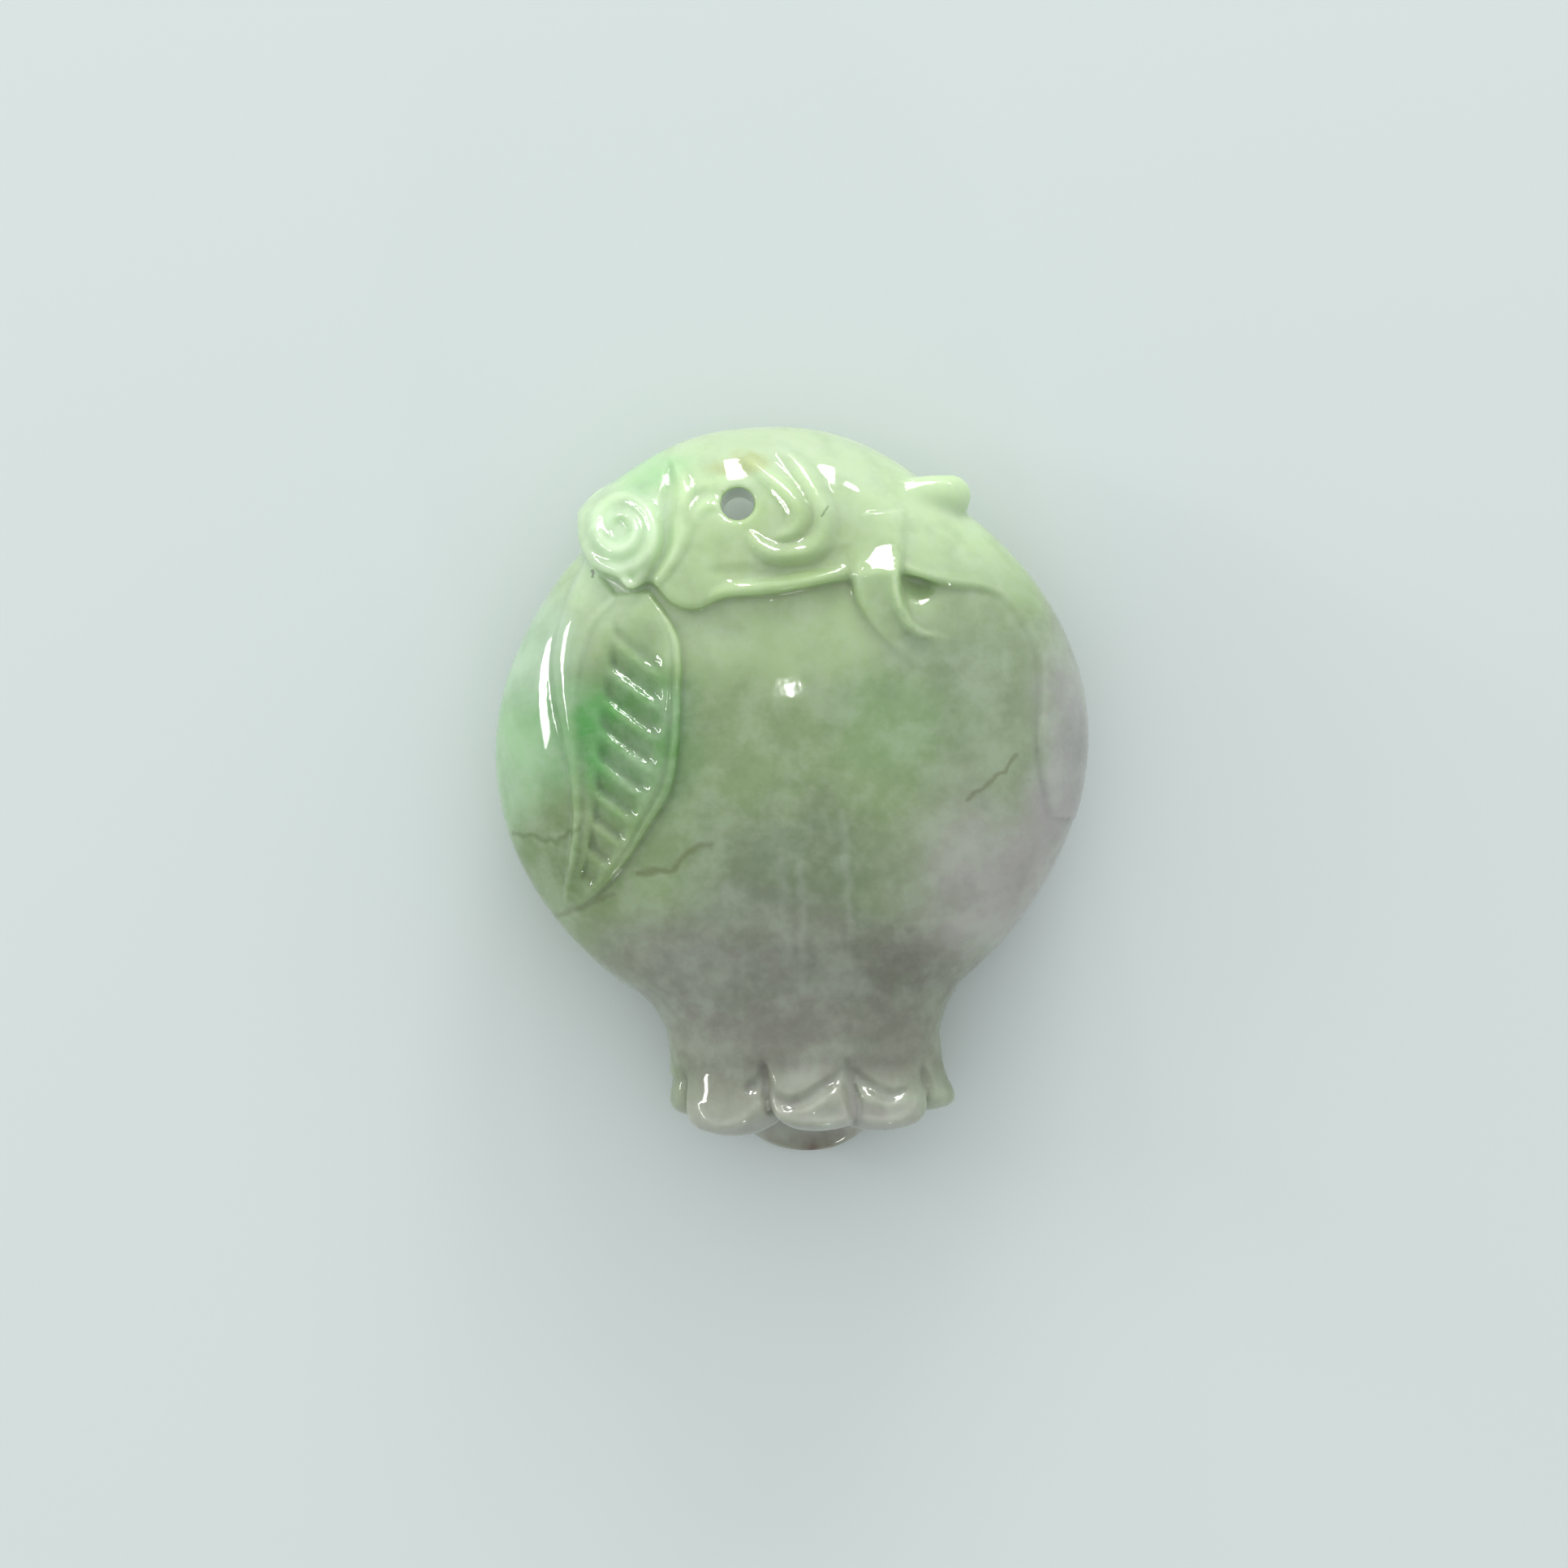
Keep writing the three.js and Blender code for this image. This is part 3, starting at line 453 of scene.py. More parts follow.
def bag_height(y, bag_rise, neck_rise):
    """How far the middle of one face of bag and neck stands from the rim."""
    bag = bag_rise * dome((y - BAG_Y) / BAG_RADIUS)
    neck = np.where(y < BAG_Y, neck_rise, 0)
    soft = NECK_SOFTNESS * smoothstep(BAG_Y - y, *NECK_SOFTENS)
    into_mouth = np.clip((NECK_SINKS_FROM - y) / (NECK_SINKS_FROM - NECK_FOOT_Y), 0, 1)
    return (bag + neck + np.hypot(bag - neck, soft)) / 2 * dome(NECK_SINKS * into_mouth)


def cap_share(x, y):
    """How far out a plan point lies on the cap: 0 in the middle and 1 at the rim."""
    return np.hypot(x, y - BAG_Y) / cap_radius(np.arctan2(y - BAG_Y, x))


class PlanMap:
    """A value over every point of the plan, kept on a fine grid and read straight between its points."""

    xs = np.arange(-PLAN_HALF[0], PLAN_HALF[0], PLAN_STEP)
    ys = np.arange(-PLAN_HALF[1], PLAN_HALF[1], PLAN_STEP)
    x, y = np.meshgrid(xs, ys, indexing="ij")

    def __init__(self, values):
        self.values = values

    def __call__(self, x, y):
        u = np.clip((x + PLAN_HALF[0]) / PLAN_STEP, 0, self.xs.size - PLAN_MARGIN)
        v = np.clip((y + PLAN_HALF[1]) / PLAN_STEP, 0, self.ys.size - PLAN_MARGIN)
        i, j = u.astype(int), v.astype(int)
        u, v = u - i, v - j
        near = self.values[i, j] * (1 - v) + self.values[i, j + 1] * v
        far = self.values[i + 1, j] * (1 - v) + self.values[i + 1, j + 1] * v
        return near * (1 - u) + far * u

    def softened(self, radius):
        """The same map blurred, as polishing rounds every edge."""
        reach = math.ceil(SOFTENING_REACH * radius / PLAN_STEP)
        weights = np.exp(-((np.arange(-reach, reach + 1) * PLAN_STEP / radius) ** 2))
        values = self.values
        for axis in (0, 1):
            shifted = [w * np.roll(values, k - reach, axis) for k, w in enumerate(weights / weights.sum())]
            values = sum(shifted)
        return PlanMap(values)


def course(points, x, y):
    """Each plan point's distance from a curve, and the share of the curve where its nearest point lies."""
    path = curve(points, STROKE_POINTS)
    nearest = np.full(x.shape, np.inf)
    along = np.zeros(x.shape)
    for k, (start, end) in enumerate(zip(path[:-1], path[1:])):
        step = end - start
        f = np.clip(((x - start[0]) * step[0] + (y - start[1]) * step[1]) / (step @ step), 0, 1)
        distance = np.hypot(x - start[0] - f * step[0], y - start[1] - f * step[1])
        closer = distance < nearest
        nearest = np.where(closer, distance, nearest)
        along = np.where(closer, (k + f) / (len(path) - 1), along)
    return nearest, along


def stroke_height(points, half_width, height):
    """A ridge or groove along a curve, with sloping flanks and thinner to its ends."""
    low = np.min(points, axis=0) - 2 * half_width
    high = np.max(points, axis=0) + 2 * half_width
    rows = slice(*np.searchsorted(PlanMap.xs, (low[0], high[0])))
    columns = slice(*np.searchsorted(PlanMap.ys, (low[1], high[1])))
    distance, along = course(points, PlanMap.x[rows, columns], PlanMap.y[rows, columns])
    size = STROKE_END + (1 - STROKE_END) * np.sin(np.pi * along) ** STROKE_SWELL
    share = np.clip(distance / (half_width * size), 0, 1)
    heights = np.zeros(PlanMap.x.shape)
    heights[rows, columns] = height * size * (1 - share**STROKE_FLANK)
    return heights


def edge_map(edge):
    """Signed distance from a cap edge across the plan, negative on the cap's side."""
    right = [(OUTSIDE, OUTSIDE_RIGHT_Y), (OUTSIDE, OUTSIDE)]
    left = [(-OUTSIDE, OUTSIDE), (-OUTSIDE, OUTSIDE_LEFT_Y)]
    outline = np.vstack([curve(edge, EDGE_POINTS), right, left])
    x, y = PlanMap.x, PlanMap.y
    on_cap = np.zeros(x.shape, bool)
    for a, b in zip(outline, np.roll(outline, -1, axis=0)):
        if a[1] != b[1]:
            crosses = (y < a[1]) != (y < b[1])
            on_cap ^= crosses & (x < a[0] + (y - a[1]) / (b[1] - a[1]) * (b[0] - a[0]))
    distance, _ = course(edge, x, y)
    return PlanMap(np.where(on_cap, -distance, distance)).softened(SOFTENING)


def dropped(rows):
    """Heights over the plan from a dense sheet of (x, y, height) points, and where the sheet lies."""
    points = rows.reshape(-1, 3)
    u = (points[:, 0] + PLAN_HALF[0]) / PLAN_STEP
    v = (points[:, 1] + PLAN_HALF[1]) / PLAN_STEP
    i, j = u.astype(int), v.astype(int)
    weight = np.zeros(PlanMap.x.shape)
    total = np.zeros(PlanMap.x.shape)
    for di, dj in ((0, 0), (1, 0), (0, 1), (1, 1)):
        share = (1 - abs(u - i - di)) * (1 - abs(v - j - dj))
        np.add.at(weight, (i + di, j + dj), share)
        np.add.at(total, (i + di, j + dj), share * points[:, 2])
    lies = weight > SHEET_LEAST
    return np.where(lies, total / np.maximum(weight, LEAST_WEIGHT), 0), lies


def spanned(left, right, columns):
    """Shares of the way from one curve to another, and the plan points there."""
    s = np.linspace(0, 1, columns)[None, :]
    return s, left + (right - left) * s[..., None]


def leaf_rows():
    """The leaf's heights: a rolled left margin, a midrib, veins that fall to the right, a lipped margin."""
    courses = (LEAF_LEFT, LEAF_MIDRIB, LEAF_RIGHT)
    left, midrib, right = (curve(points, LEAF_ROWS)[:, None] for points in courses)
    along = np.linspace(0, 1, LEAF_ROWS)[:, None]
    thin = np.minimum(1, LEAF_TIP_FALLS * (1 - along)) * np.minimum(1, LEAF_TOP + LEAF_TOP_GROWS * along)

    s, plan = spanned(left, midrib, LEAF_OUTER_COLUMNS)
    height = np.interp(s, *LEAF_OUTER)
    outer = np.dstack([plan, (LEAF_RISE + height) * thin])

    s, plan = spanned(midrib, right, LEAF_INNER_COLUMNS)
    height = np.interp(s, *LEAF_INNER)
    from_midrib = (plan - midrib)[..., 0]
    root_y = plan[..., 1] + VEIN_DROP * np.maximum(0, from_midrib) ** VEIN_BEND
    phase = (VEIN_TOP_Y - root_y) / VEIN_PITCH % 1
    groove = np.where(phase < VEIN_FALL, phase / VEIN_FALL, (1 - phase) / (1 - VEIN_FALL))
    below_pit = smoothstep(VEIN_TOP_Y - root_y, *VEIN_BEGINS)
    reach = smoothstep(s, *VEIN_DEEPENS) * (1 - smoothstep(s, *VEIN_FADES)) * below_pit
    inner = np.dstack([plan, (LEAF_RISE + height - VEIN_DEPTH * groove * reach) * thin])
    return np.hstack([outer, inner])


def strap_rows():
    """The strap's heights: one profile across, as high as the strap is there along it."""
    left, right = (curve(points, STRAP_ROWS)[:, None] for points in (STRAP_LEFT, STRAP_RIGHT))
    s, plan = spanned(left, right, STRAP_COLUMNS)
    stations = np.arange(len(STRAP_HEIGHT))
    along = np.interp(np.linspace(0, stations[-1], STRAP_ROWS), stations, STRAP_HEIGHT)[:, None]
    return np.dstack([plan, along * np.interp(s, *STRAP_ACROSS)])


def strokes(ridges, grooves):
    """The heights of ridges and grooves together over the plan."""
    raised = np.max([stroke_height(*stroke) for stroke in ridges], axis=0)
    sunk = np.min([stroke_height(*stroke) for stroke in grooves], axis=0)
    return raised + sunk


def pit_height(middle, half_sizes, depth):
    off = ((PlanMap.x - middle[0]) / half_sizes[0]) ** 2 + ((PlanMap.y - middle[1]) / half_sizes[1]) ** 2
    return -depth * np.exp(-off)


def pits(shapes):
    """The heights of round pits, or of swellings where their depth is under 0, together over the plan."""
    return sum(pit_height(*shape) for shape in shapes)


def bag_relief():
    """Heights over the bag's front: the leaf, the strap, the pits in them and the petals' relief."""
    heights = np.zeros(PlanMap.x.shape)
    for rows in (leaf_rows(), strap_rows()):
        sheet, lies = dropped(rows)
        heights = np.where(lies, sheet, heights)
    heights += pits([STRAP_PIT, LEAF_PIT] + PETAL_SHOULDERS)
    heights += strokes(STRAP_RIMS + PETAL_LIPS + [LEAF_FOLD], PETAL_CREASES + [STRAP_HOLLOW])
    return PlanMap(heights).softened(BAG_SOFTENING)


BAG_RELIEF = bag_relief()
CAP_RELIEF = PlanMap(strokes(CAP_RIDGES, CAP_GROOVES)).softened(SOFTENING)
MOUTH_RELIEF = PlanMap(strokes(PETAL_LIPS, PETAL_CREASES) + pits(PETAL_SHOULDERS)).softened(SOFTENING)
FRONT_EDGE = edge_map(CAP_EDGE)
BACK_EDGE = edge_map(CAP_BACK_EDGE)


def as_distance(shape, x, y, z):
    """An implicit shape's value over its slope, which is near its distance."""
    here = shape(x, y, z)
    beside = ((x + PROBE, y, z), (x, y + PROBE, z), (x, y, z + PROBE))
    slopes = [(shape(*moved) - here) / PROBE for moved in beside]
    steepness = np.sqrt(sum(slope**2 for slope in slopes))
    return np.clip(here / np.maximum(steepness, LEAST_SLOPE), -FARTHEST, FARTHEST)


def bag(x, y, z):
    at = np.minimum(y, BAG_END_Y)
    left, right = side_reach(at, -1), side_reach(at, 1)
    across = (2 * x - right + left) / (right + left)
    front = np.maximum(0, z - RIM_Z - BAG_RELIEF(x, y)) / bag_height(at, FRONT_RISE, NECK_FRONT)
    back = np.maximum(0, RIM_Z - z) / bag_height(at, BACK_DROP, NECK_BACK)
    round_part = np.abs(across) ** DOME_POWER + front**2 + back**2 - 1
    return np.maximum(round_part, np.maximum(y - BAG_END_Y, NECK_FOOT_Y - y))


def cap_pillow(x, y, z):
    front = np.maximum(0, z - RIM_Z - CAP_RELIEF(x, y)) / (FRONT_RISE + CAP_RISE)
    back = np.maximum(0, RIM_Z - z) / (BACK_DROP + CAP_BACK_RISE)
    return cap_share(x, y) ** DOME_POWER + front**2 + back**2 - 1


def cap(x, y, z):
    over = smoothstep(z, RIM_Z - CAP_EDGES_MERGE, RIM_Z + CAP_EDGES_MERGE)
    side = BACK_EDGE(x, y) * (1 - over) + FRONT_EDGE(x, y) * over
    return smooth_max(as_distance(cap_pillow, x, y, z), side, CAP_EDGE_ROUNDING)


def petal_tables():
    """The mouth's edge height and the petals' roundness at every half degree from the front toward +X."""
    angles, feet, rounds = [], [], []
    first_start, first_notch = PETALS[0][:2]
    ends = [petal[:2] for petal in PETALS[1:]] + [(first_start + 360, first_notch)]
    for (start, notch, tip, lean), (end, next_notch) in zip(PETALS, ends):
        across = np.linspace(0, 1, int(PETAL_POINTS_A_DEGREE * (end - start)), endpoint=False)
        bulge = np.sqrt(1 - (2 * across**lean - 1) ** 2)
        notches = notch + (next_notch - notch) * across
        angles.append(start + (end - start) * across)
        rounds.append(bulge)
        feet.append(notches + (tip - notches) * bulge**PETAL_POWER)
    return np.concatenate(angles), np.concatenate(feet), np.concatenate(rounds)


PETAL_ANGLES, PETAL_FEET, PETAL_ROUNDS = petal_tables()


def mouth(x, y, z):
    """The flared mouth and its petals. It takes over from the neck at its top."""
    lower = np.clip((MOUTH_TOP_Y - y) / (MOUTH_TOP_Y - MOUTH_X_Y), 0, 1)
    out_x = x - NECK_X - (MOUTH_X - NECK_X) * lower
    out_z = z - RIM_Z - MOUTH_RELIEF(x, y) * smoothstep(z, RIM_Z, RIM_Z + MOUTH_RELIEF_RISES)
    row = MOUTH_ANGLE_ROW
    share_x = out_x / MOUTH_HALF_X[row]
    share_z = out_z / np.where(out_z > 0, MOUTH_HALF_FRONT[row], MOUTH_HALF_BACK[row])
    angle = np.degrees(np.arctan2(share_x, share_z))
    inner = smoothstep(np.hypot(share_x, share_z), *MOUTH_INNER)
    foot = np.interp(angle, PETAL_ANGLES, PETAL_FEET, period=360) * inner + MOUTH_INNER_Y * (1 - inner)
    bulge = np.interp(angle, PETAL_ANGLES, PETAL_ROUNDS, period=360)
    down = (MOUTH_TOP_Y - y) / (MOUTH_TOP_Y - foot)

    def profile(values):
        table = curve(list(zip(MOUTH_DOWN, values)), PROFILE_POINTS)
        return np.interp(down, table[:, 0], table[:, 1])

    out = bulge * profile(MOUTH_BULGE)
    half_x = profile(MOUTH_HALF_X) + out
    half_z = np.where(out_z > 0, profile(MOUTH_HALF_FRONT), profile(MOUTH_HALF_BACK)) + out
    wall = (np.hypot(out_x / half_x, out_z / half_z) - 1) * half_z
    return np.maximum(smooth_max(wall, foot - y, FOOT_ROUNDING), y - MOUTH_TOP_Y)


def ellipsoid(centre, radii, x, y, z):
    share = np.sqrt(sum(((at - c) / r) ** 2 for at, c, r in zip((x, y, z), centre, radii)))
    return (share - 1) * min(radii)


def curl(x, y, z):
    """The knob at the cap's left end."""
    along = (x - CURL[0]) * CURL_AXIS[0] + (y - CURL[1]) * CURL_AXIS[1]
    across = (x - CURL[0]) * CURL_AXIS[1] - (y - CURL[1]) * CURL_AXIS[0]
    reach = np.hypot(along / CURL_LONG, across)
    angle = np.arctan2(y - CURL[1], x - CURL[0])
    share = reach / CURL_RADIUS
    face = RIM_Z + np.maximum(CURL_OVERHANG, (FRONT_RISE + CAP_RISE) * dome(cap_share(x, y)))
    winding = CURL_RIDGE * np.cos(2 * np.pi * reach / CURL_PITCH + angle + CURL_TURN)
    winding = winding * smoothstep(share, *CURL_WINDS_FROM)
    pit = CURL_PIT * (1 - smoothstep(share, *CURL_PIT_SPAN))
    top = face + CURL_RISE * np.sqrt(np.maximum(0, 1 - share**CURL_SQUARENESS)) + winding - pit
    tapered = CURL_RADIUS - CURL_TAPER * np.maximum(0, RIM_Z - z)
    sides = np.maximum(reach - tapered, RIM_Z - CURL_SUNK - z)
    return smooth_max(CURL_FACE_SCALE * (z - top), sides, CURL_ROUNDING)


def ear(x, y, z):
    """The stubby roll at the cap's right end."""
    axis_z = EAR_Z - EAR_DROOP * (x - EAR_X[0])
    past_end = np.maximum(0, x - EAR_X[-1])
    out = np.sqrt((y - EAR_Y) ** 2 + (z - axis_z) ** 2 + past_end**2)
    return np.maximum(out - np.interp(x, EAR_X, EAR_RADIUS), EAR_X[0] - x)


def stone(x, y, z):
    """The whole carving: negative inside, and near its surface the distance to it in millimetres."""
    body = as_distance(bag, x, y, z)
    for form, blend in ((cap, CAP_BLEND), (mouth, MOUTH_BLEND), (curl, CURL_BLEND), (ear, EAR_BLEND)):
        body = smooth_min(body, form(x, y, z), blend)
    hole = np.hypot(x - CORD_HOLE[0], y - CORD_HOLE[1]) - CORD_HOLE_RADIUS
    body = smooth_max(body, -ellipsoid(*MOUTH_HOLLOW, x, y, z), HOLLOW_ROUNDING)
    body = smooth_max(body, -hole, HOLE_ROUNDING)
    return smooth_max(body, -z, REST_ROUNDING)


def probed(points):
    """The carving's value and its gradient at points."""
    x, y, z = points.T
    here = stone(x, y, z)
    beside = ((x + SURFACE_PROBE, y, z), (x, y + SURFACE_PROBE, z), (x, y, z + SURFACE_PROBE))
    return here, np.stack([(stone(*moved) - here) / SURFACE_PROBE for moved in beside], axis=1)


def settle(points, rounds):
    """Points moved onto the carving's surface along its gradient."""
    for _ in range(rounds):
        here, gradient = probed(points)
        move = here / np.maximum((gradient**2).sum(1), LEAST_SLOPE_SQUARED)
        points = points - np.clip(move, -LONGEST_MOVE, LONGEST_MOVE)[:, None] * gradient
    return points


def grid_axis(start, end, fine_spans):
    """Places from start to end, closer together over the given spans."""
    places = [start]
    while places[-1] < end:
        fine = any(low < places[-1] < high for low, high in fine_spans)
        places.append(places[-1] + (FINE_STEP if fine else COARSE_STEP))
    return np.array(places)


def skin(values, axes_at):
    """One point for each grid cell that the surface crosses, and a quad for each edge that it crosses."""
    inside = values < 0
    axes = np.eye(3, dtype=int)
    corners = np.array([(i, j, k) for i in (0, 1) for j in (0, 1) for k in (0, 1)])
    size = np.array(values.shape) - 1
    windows = [tuple(slice(c, c + n) for c, n in zip(corner, size)) for corner in corners]
    count = sum(inside[window].astype(np.int8) for window in windows)
    cells = np.argwhere((count > 0) & (count < len(corners)))
    number = np.full(size, -1)
    number[tuple(cells.T)] = np.arange(len(cells))

    total = np.zeros((len(cells), 3))
    hits = np.zeros(len(cells))
    for corner in corners:
        for axis in axes[corner == 0]:
            a = values[tuple((cells + corner).T)]
            b = values[tuple((cells + corner + axis).T)]
            crossed = (a < 0) != (b < 0)
            share = np.where(crossed, a / np.where(crossed, a - b, 1), 0)
            total += crossed[:, None] * (cells + corner + share[:, None] * axis)
            hits += crossed

    quads = []
    for n, axis in enumerate(axes):
        u, v = axes[(n + 1) % 3], axes[(n + 2) % 3]
        first = tuple(slice(0, -1) if step else slice(None) for step in axis)
        second = tuple(slice(1, None) if step else slice(None) for step in axis)
        edges = np.argwhere(inside[first] != inside[second])
        loop = np.stack([number[tuple((edges - shift).T)] for shift in (u + v, v, 0 * u, u)], axis=1)
        leaving = inside[tuple(edges.T)]
        quads.append(np.where(leaving[:, None], loop, loop[:, ::-1]))
    places = [np.interp(total[:, k] / hits, np.arange(len(at)), at) for k, at in enumerate(axes_at)]
    return np.stack(places, axis=1), np.concatenate(quads)


def evened(points, quads, rounds):
    """Points drawn toward the middle of their neighbours and settled again, for even quads."""
    for _ in range(rounds):
        total = np.zeros(points.shape)
        count = np.zeros(len(points))
        for k in range(4):
            for other in (quads[:, k - 1], quads[:, (k + 1) % 4]):
                np.add.at(total, quads[:, k], points[other])
                np.add.at(count, quads[:, k], 1)
        points = settle(points + EVEN_SHARE * (total / count[:, None] - points), 1)
    return points


def carve():
    """The stone's points in millimetres and its quads."""
    x = grid_axis(GRID_LOW[0], GRID_HIGH[0], FINE_X)
    y = grid_axis(GRID_LOW[1], GRID_HIGH[1], FINE_Y)
    z = np.arange(GRID_LOW[2], GRID_HIGH[2], UP_STEP)
    values = stone(x[:, None, None], y[None, :, None], z[None, None, :])
    points, quads = skin(values, (x, y, z))
    return evened(settle(points, SETTLE_ROUNDS), quads, EVEN_ROUNDS), quads


def fitted(points):
    """The points in metres, with their own box set in the solid's box."""
    low, high = np.array(solid_box[0]), np.array(solid_box[1])
    own_low, own_high = points.min(0), points.max(0)
    return low + (points - own_low) * (high - low) / (own_high - own_low)


def placed(name, data):
    """A new object in the scene that holds a mesh, a light or a camera."""
    made = bpy.data.objects.new(name, data)
    bpy.context.scene.collection.objects.link(made)
    return made


def pendant():
    """The carving as one mesh, smooth to look at."""
    points, quads = carve()
    mesh = bpy.data.meshes.new("jadeite_pendant_carving")
    mesh.from_pydata(fitted(points).tolist(), [], quads.tolist())
    mesh.shade_smooth()
    return placed("jadeite_carving", mesh)


def linear(red, green, blue):
    """A colour given in 8-bit sRGB, as the shader takes it."""
    channels = [c / 255 for c in (red, green, blue)]
    return [c / 12.92 if c <= 0.04045 else ((c + 0.055) / 1.055) ** 2.4 for c in channels] + [1]


class Shader:
    """One material's nodes, made with short calls."""

    def __init__(self, name):
        self.material = bpy.data.materials.new(name)
        self.material.use_nodes = True
        self.tree = self.material.node_tree
        self.surface = self.tree.nodes["Principled BSDF"]

    def fill(self, node, inputs):
        for key, value in inputs.items():
            if isinstance(value, bpy.types.NodeSocket):
                self.tree.links.new(value, node.inputs[key])
            else:
                node.inputs[key].default_value = value

    def node(self, kind, inputs, **settings):
        made = self.tree.nodes.new("ShaderNode" + kind)
        for key, value in settings.items():
            setattr(made, key, value)
        self.fill(made, inputs)
        return made.outputs

    def maths(self, operation, a, b, **settings):
        return self.node("Math", {0: a, 1: b}, operation=operation, **settings)[0]

    def vector(self, operation, a, b):
        return self.node("VectorMath", {0: a, 1: b}, operation=operation)[0]

    def off_path(self, place, points):
        """Distance in plan from the straight lines that join the points."""
        nearest = FAR
        for (ax, ay), (bx, by) in zip(points[:-1], points[1:]):
            step = (bx - ax, by - ay, 0)
            length = math.hypot(*step)
            offset = self.vector("MULTIPLY", self.vector("SUBTRACT", place, (ax, ay, 0)), (1, 1, 0))
            inputs = {0: offset, 1: [c / length**2 for c in step]}
            along = self.node("VectorMath", inputs, operation="DOT_PRODUCT")["Value"]
            along = self.maths("MULTIPLY", along, 1.0, use_clamp=True)
            foot = self.node("VectorMath", {0: step, "Scale": along}, operation="SCALE")[0]
            apart = self.vector("SUBTRACT", offset, foot)
            distance = self.node("VectorMath", {0: apart}, operation="LENGTH")["Value"]
            nearest = self.maths("MINIMUM", distance, nearest)
        return nearest

    def noise(self, place, scale, detail, roughness=0.55, output="Fac"):
        inputs = {"Vector": place, "Scale": scale, "Detail": detail, "Roughness": roughness}
        return self.node("TexNoise", inputs)[output]

    def strayed(self, place, noise, reach):
        """A place moved aside by a noise, within half the reach each way."""
        aside = self.vector("SUBTRACT", self.noise(place, *noise, output="Color"), (0.5, 0.5, 0.5))
        return self.vector("ADD", place, self.vector("MULTIPLY", aside, reach))

    def ramp(self, value, low, high, out_low, out_high):
        inputs = {"Value": value, "From Min": low, "From Max": high, "To Min": out_low, "To Max": out_high}
        return self.node("MapRange", inputs, interpolation_type="SMOOTHSTEP")["Result"]

    def mix(self, share, a, b):
        return self.node("Mix", {0: share, 6: a, 7: b}, data_type="RGBA")[2]


def jadeite():
    """Translucent stone with clouds of colour, mottled and polished, with painted light and shade in its
    clouds and streaks.
    """
    shader = Shader("jadeite")
    place = shader.vector("MULTIPLY", shader.node("TexCoord", {})["Object"], [1 / MM] * 3)
    drifted = shader.strayed(place, CLOUD_NOISE, CLOUD_STRAYS)
    colour = linear(*STONE_COLOUR)
    # Clouds of colour, pale at the crown and grey at the neck partly as painted light and painted shade,
    # with one dark patch of painted shade under the mouth.
    for (x, y), (half_x, half_y), tint, strength in CLOUDS_WITH_PAINTED_LIGHT_AND_SHADE:
        offset = shader.vector("SUBTRACT", drifted, (x, y, 0))
        scaled = shader.vector("MULTIPLY", offset, (1 / half_x, 1 / half_y, 0))
        distance = shader.node("VectorMath", {0: scaled}, operation="LENGTH")["Value"]
        colour = shader.mix(shader.ramp(distance, *CLOUD_FADE, 0, strength), colour, linear(*tint))

    for aside, noise, span, tint, strength in MOTTLES:
        speckle = shader.noise(shader.vector("ADD", place, aside), *noise)
        colour = shader.mix(shader.ramp(speckle, *span, 0, strength), colour, linear(*tint))
    # Cracks and nicks in the stone, and pale streaks that are painted highlights of uncarved folds on the
    # lower belly.
    wobbled = shader.strayed(place, STREAK_NOISE, STREAK_STRAYS)
    for points, half_width, tint, strength in CRACKS_NICKS_AND_PAINTED_HIGHLIGHTS:
        share = shader.ramp(shader.off_path(wobbled, points), half_width, 0, 0, strength)
        colour = shader.mix(share, colour, linear(*tint))

    wear = shader.noise(place, *POLISH_NOISE)
    inputs = {
        "Base Color": colour,
        "Roughness": shader.ramp(wear, *POLISH_SPAN, *POLISH_ROUGHNESS),
        "IOR": REFRACTION,
        "Subsurface Weight": 1.0,
        "Subsurface Radius": GLOW,
        "Subsurface Scale": GLOW_DEPTH,
        "Transmission Weight": CLEARNESS,
    }
    shader.fill(shader.surface, inputs)
    waves = shader.noise(place, *RIPPLE_NOISE)
    bump = {"Height": waves, "Strength": RIPPLE_STRENGTH, "Distance": RIPPLE_HEIGHT}
    shader.fill(shader.surface, {"Normal": shader.node("Bump", bump)["Normal"]})
    return shader.material


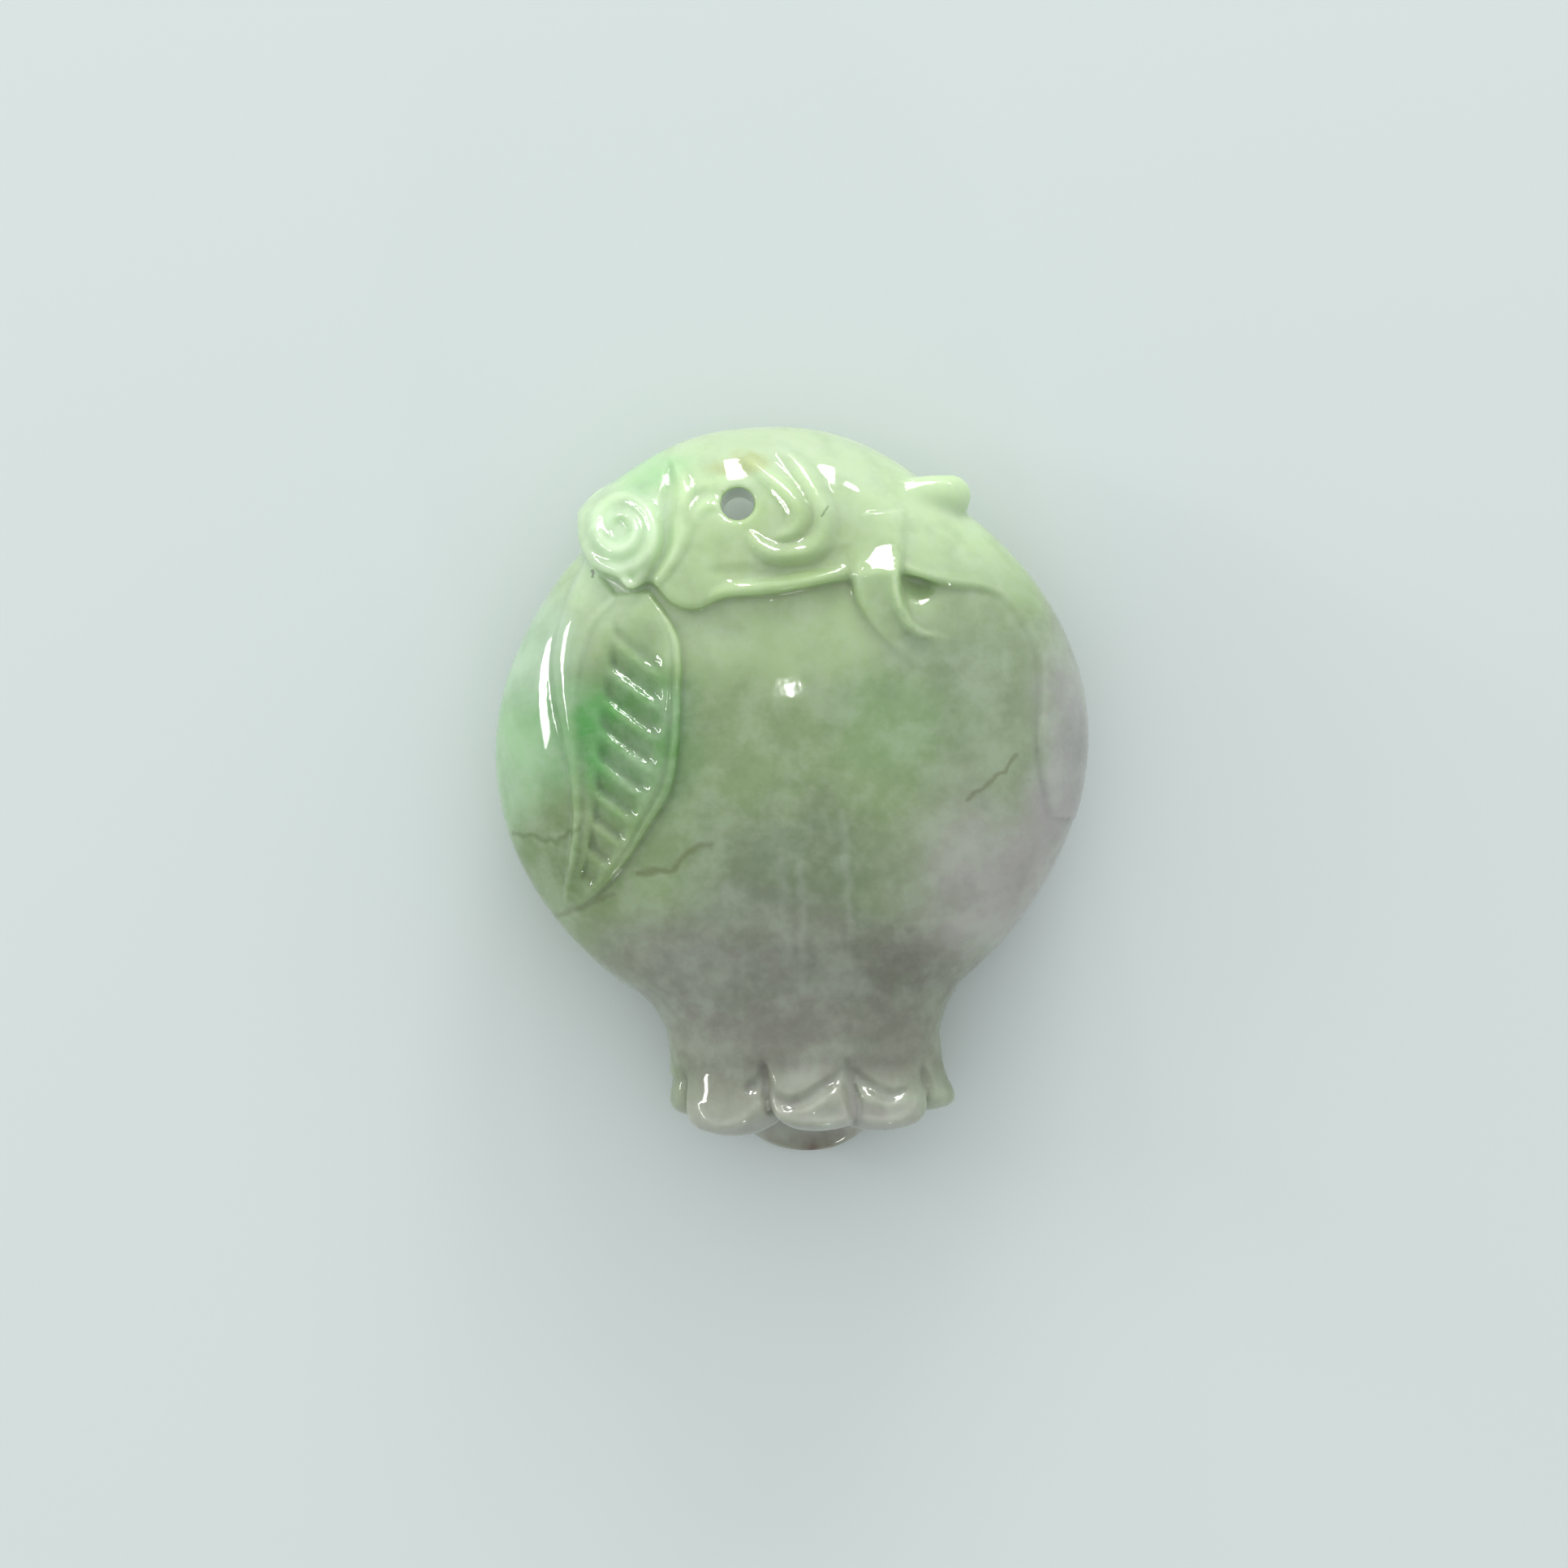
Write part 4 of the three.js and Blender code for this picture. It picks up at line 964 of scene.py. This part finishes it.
def floor():
    """A plain pale floor that the part lies on."""
    paint = Shader("floor_paint")
    paint.fill(paint.surface, {"Base Color": linear(*FLOOR_COLOUR), "Roughness": FLOOR_ROUGHNESS})
    mesh = bpy.data.meshes.new("floor")
    corners = [(x * FLOOR_HALF, y * FLOOR_HALF, 0) for x, y in ((-1, -1), (1, -1), (1, 1), (-1, 1))]
    mesh.from_pydata(corners, [], [(0, 1, 2, 3)])
    mesh.materials.append(paint.material)
    return placed("floor", mesh)


def softbox(name, place, size, watts, roll):
    """A rectangular light that faces the part."""
    data = bpy.data.lights.new(name, "AREA")
    data.shape = "RECTANGLE"
    data.size, data.size_y = size
    data.energy = watts
    light = placed(name, data)
    light.location = place
    facing = (-Vector(place)).to_track_quat("-Z", "Y")
    light.rotation_euler = (facing @ Quaternion((0, 0, 1), math.radians(roll))).to_euler()


def sky():
    """Soft light from all round, brighter toward the drilled end than toward the mouth."""
    world = bpy.data.worlds.new("studio")
    world.use_nodes = True
    nodes, links = world.node_tree.nodes, world.node_tree.links
    background = nodes["Background"]
    background.inputs["Color"].default_value = linear(*SKY_COLOUR)
    direction = nodes.new("ShaderNodeTexCoord").outputs["Generated"]
    split = nodes.new("ShaderNodeSeparateXYZ")
    range_of = nodes.new("ShaderNodeMapRange")
    for name, value in zip(("From Min", "From Max", "To Min", "To Max"), (-1, 1, *SKY_STRENGTH)):
        range_of.inputs[name].default_value = value
    links.new(direction, split.inputs[0])
    links.new(split.outputs["Y"], range_of.inputs["Value"])
    links.new(range_of.outputs["Result"], background.inputs["Strength"])
    bpy.context.scene.world = world


def camera():
    """Looks straight down on the part, with the drilled end at the top of the picture."""
    data = bpy.data.cameras.new("camera")
    data.sensor_width = SENSOR_WIDTH
    data.lens = FOCAL_LENGTH
    eye = placed("camera", data)
    distance = FOCAL_LENGTH * FRAME_WIDTH / SENSOR_WIDTH
    eye.location = (FRAME_MIDDLE[0] * MM, FRAME_MIDDLE[1] * MM, (RIM_Z + distance) * MM)
    bpy.context.scene.camera = eye


bpy.context.scene.view_settings.view_transform = "Standard"
carving = pendant()
carving.data.materials.append(jadeite())
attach(carving, "root")
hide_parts("jadeite_pendant")
floor()

for lamp in LAMPS:
    softbox(*lamp)
sky()
camera()
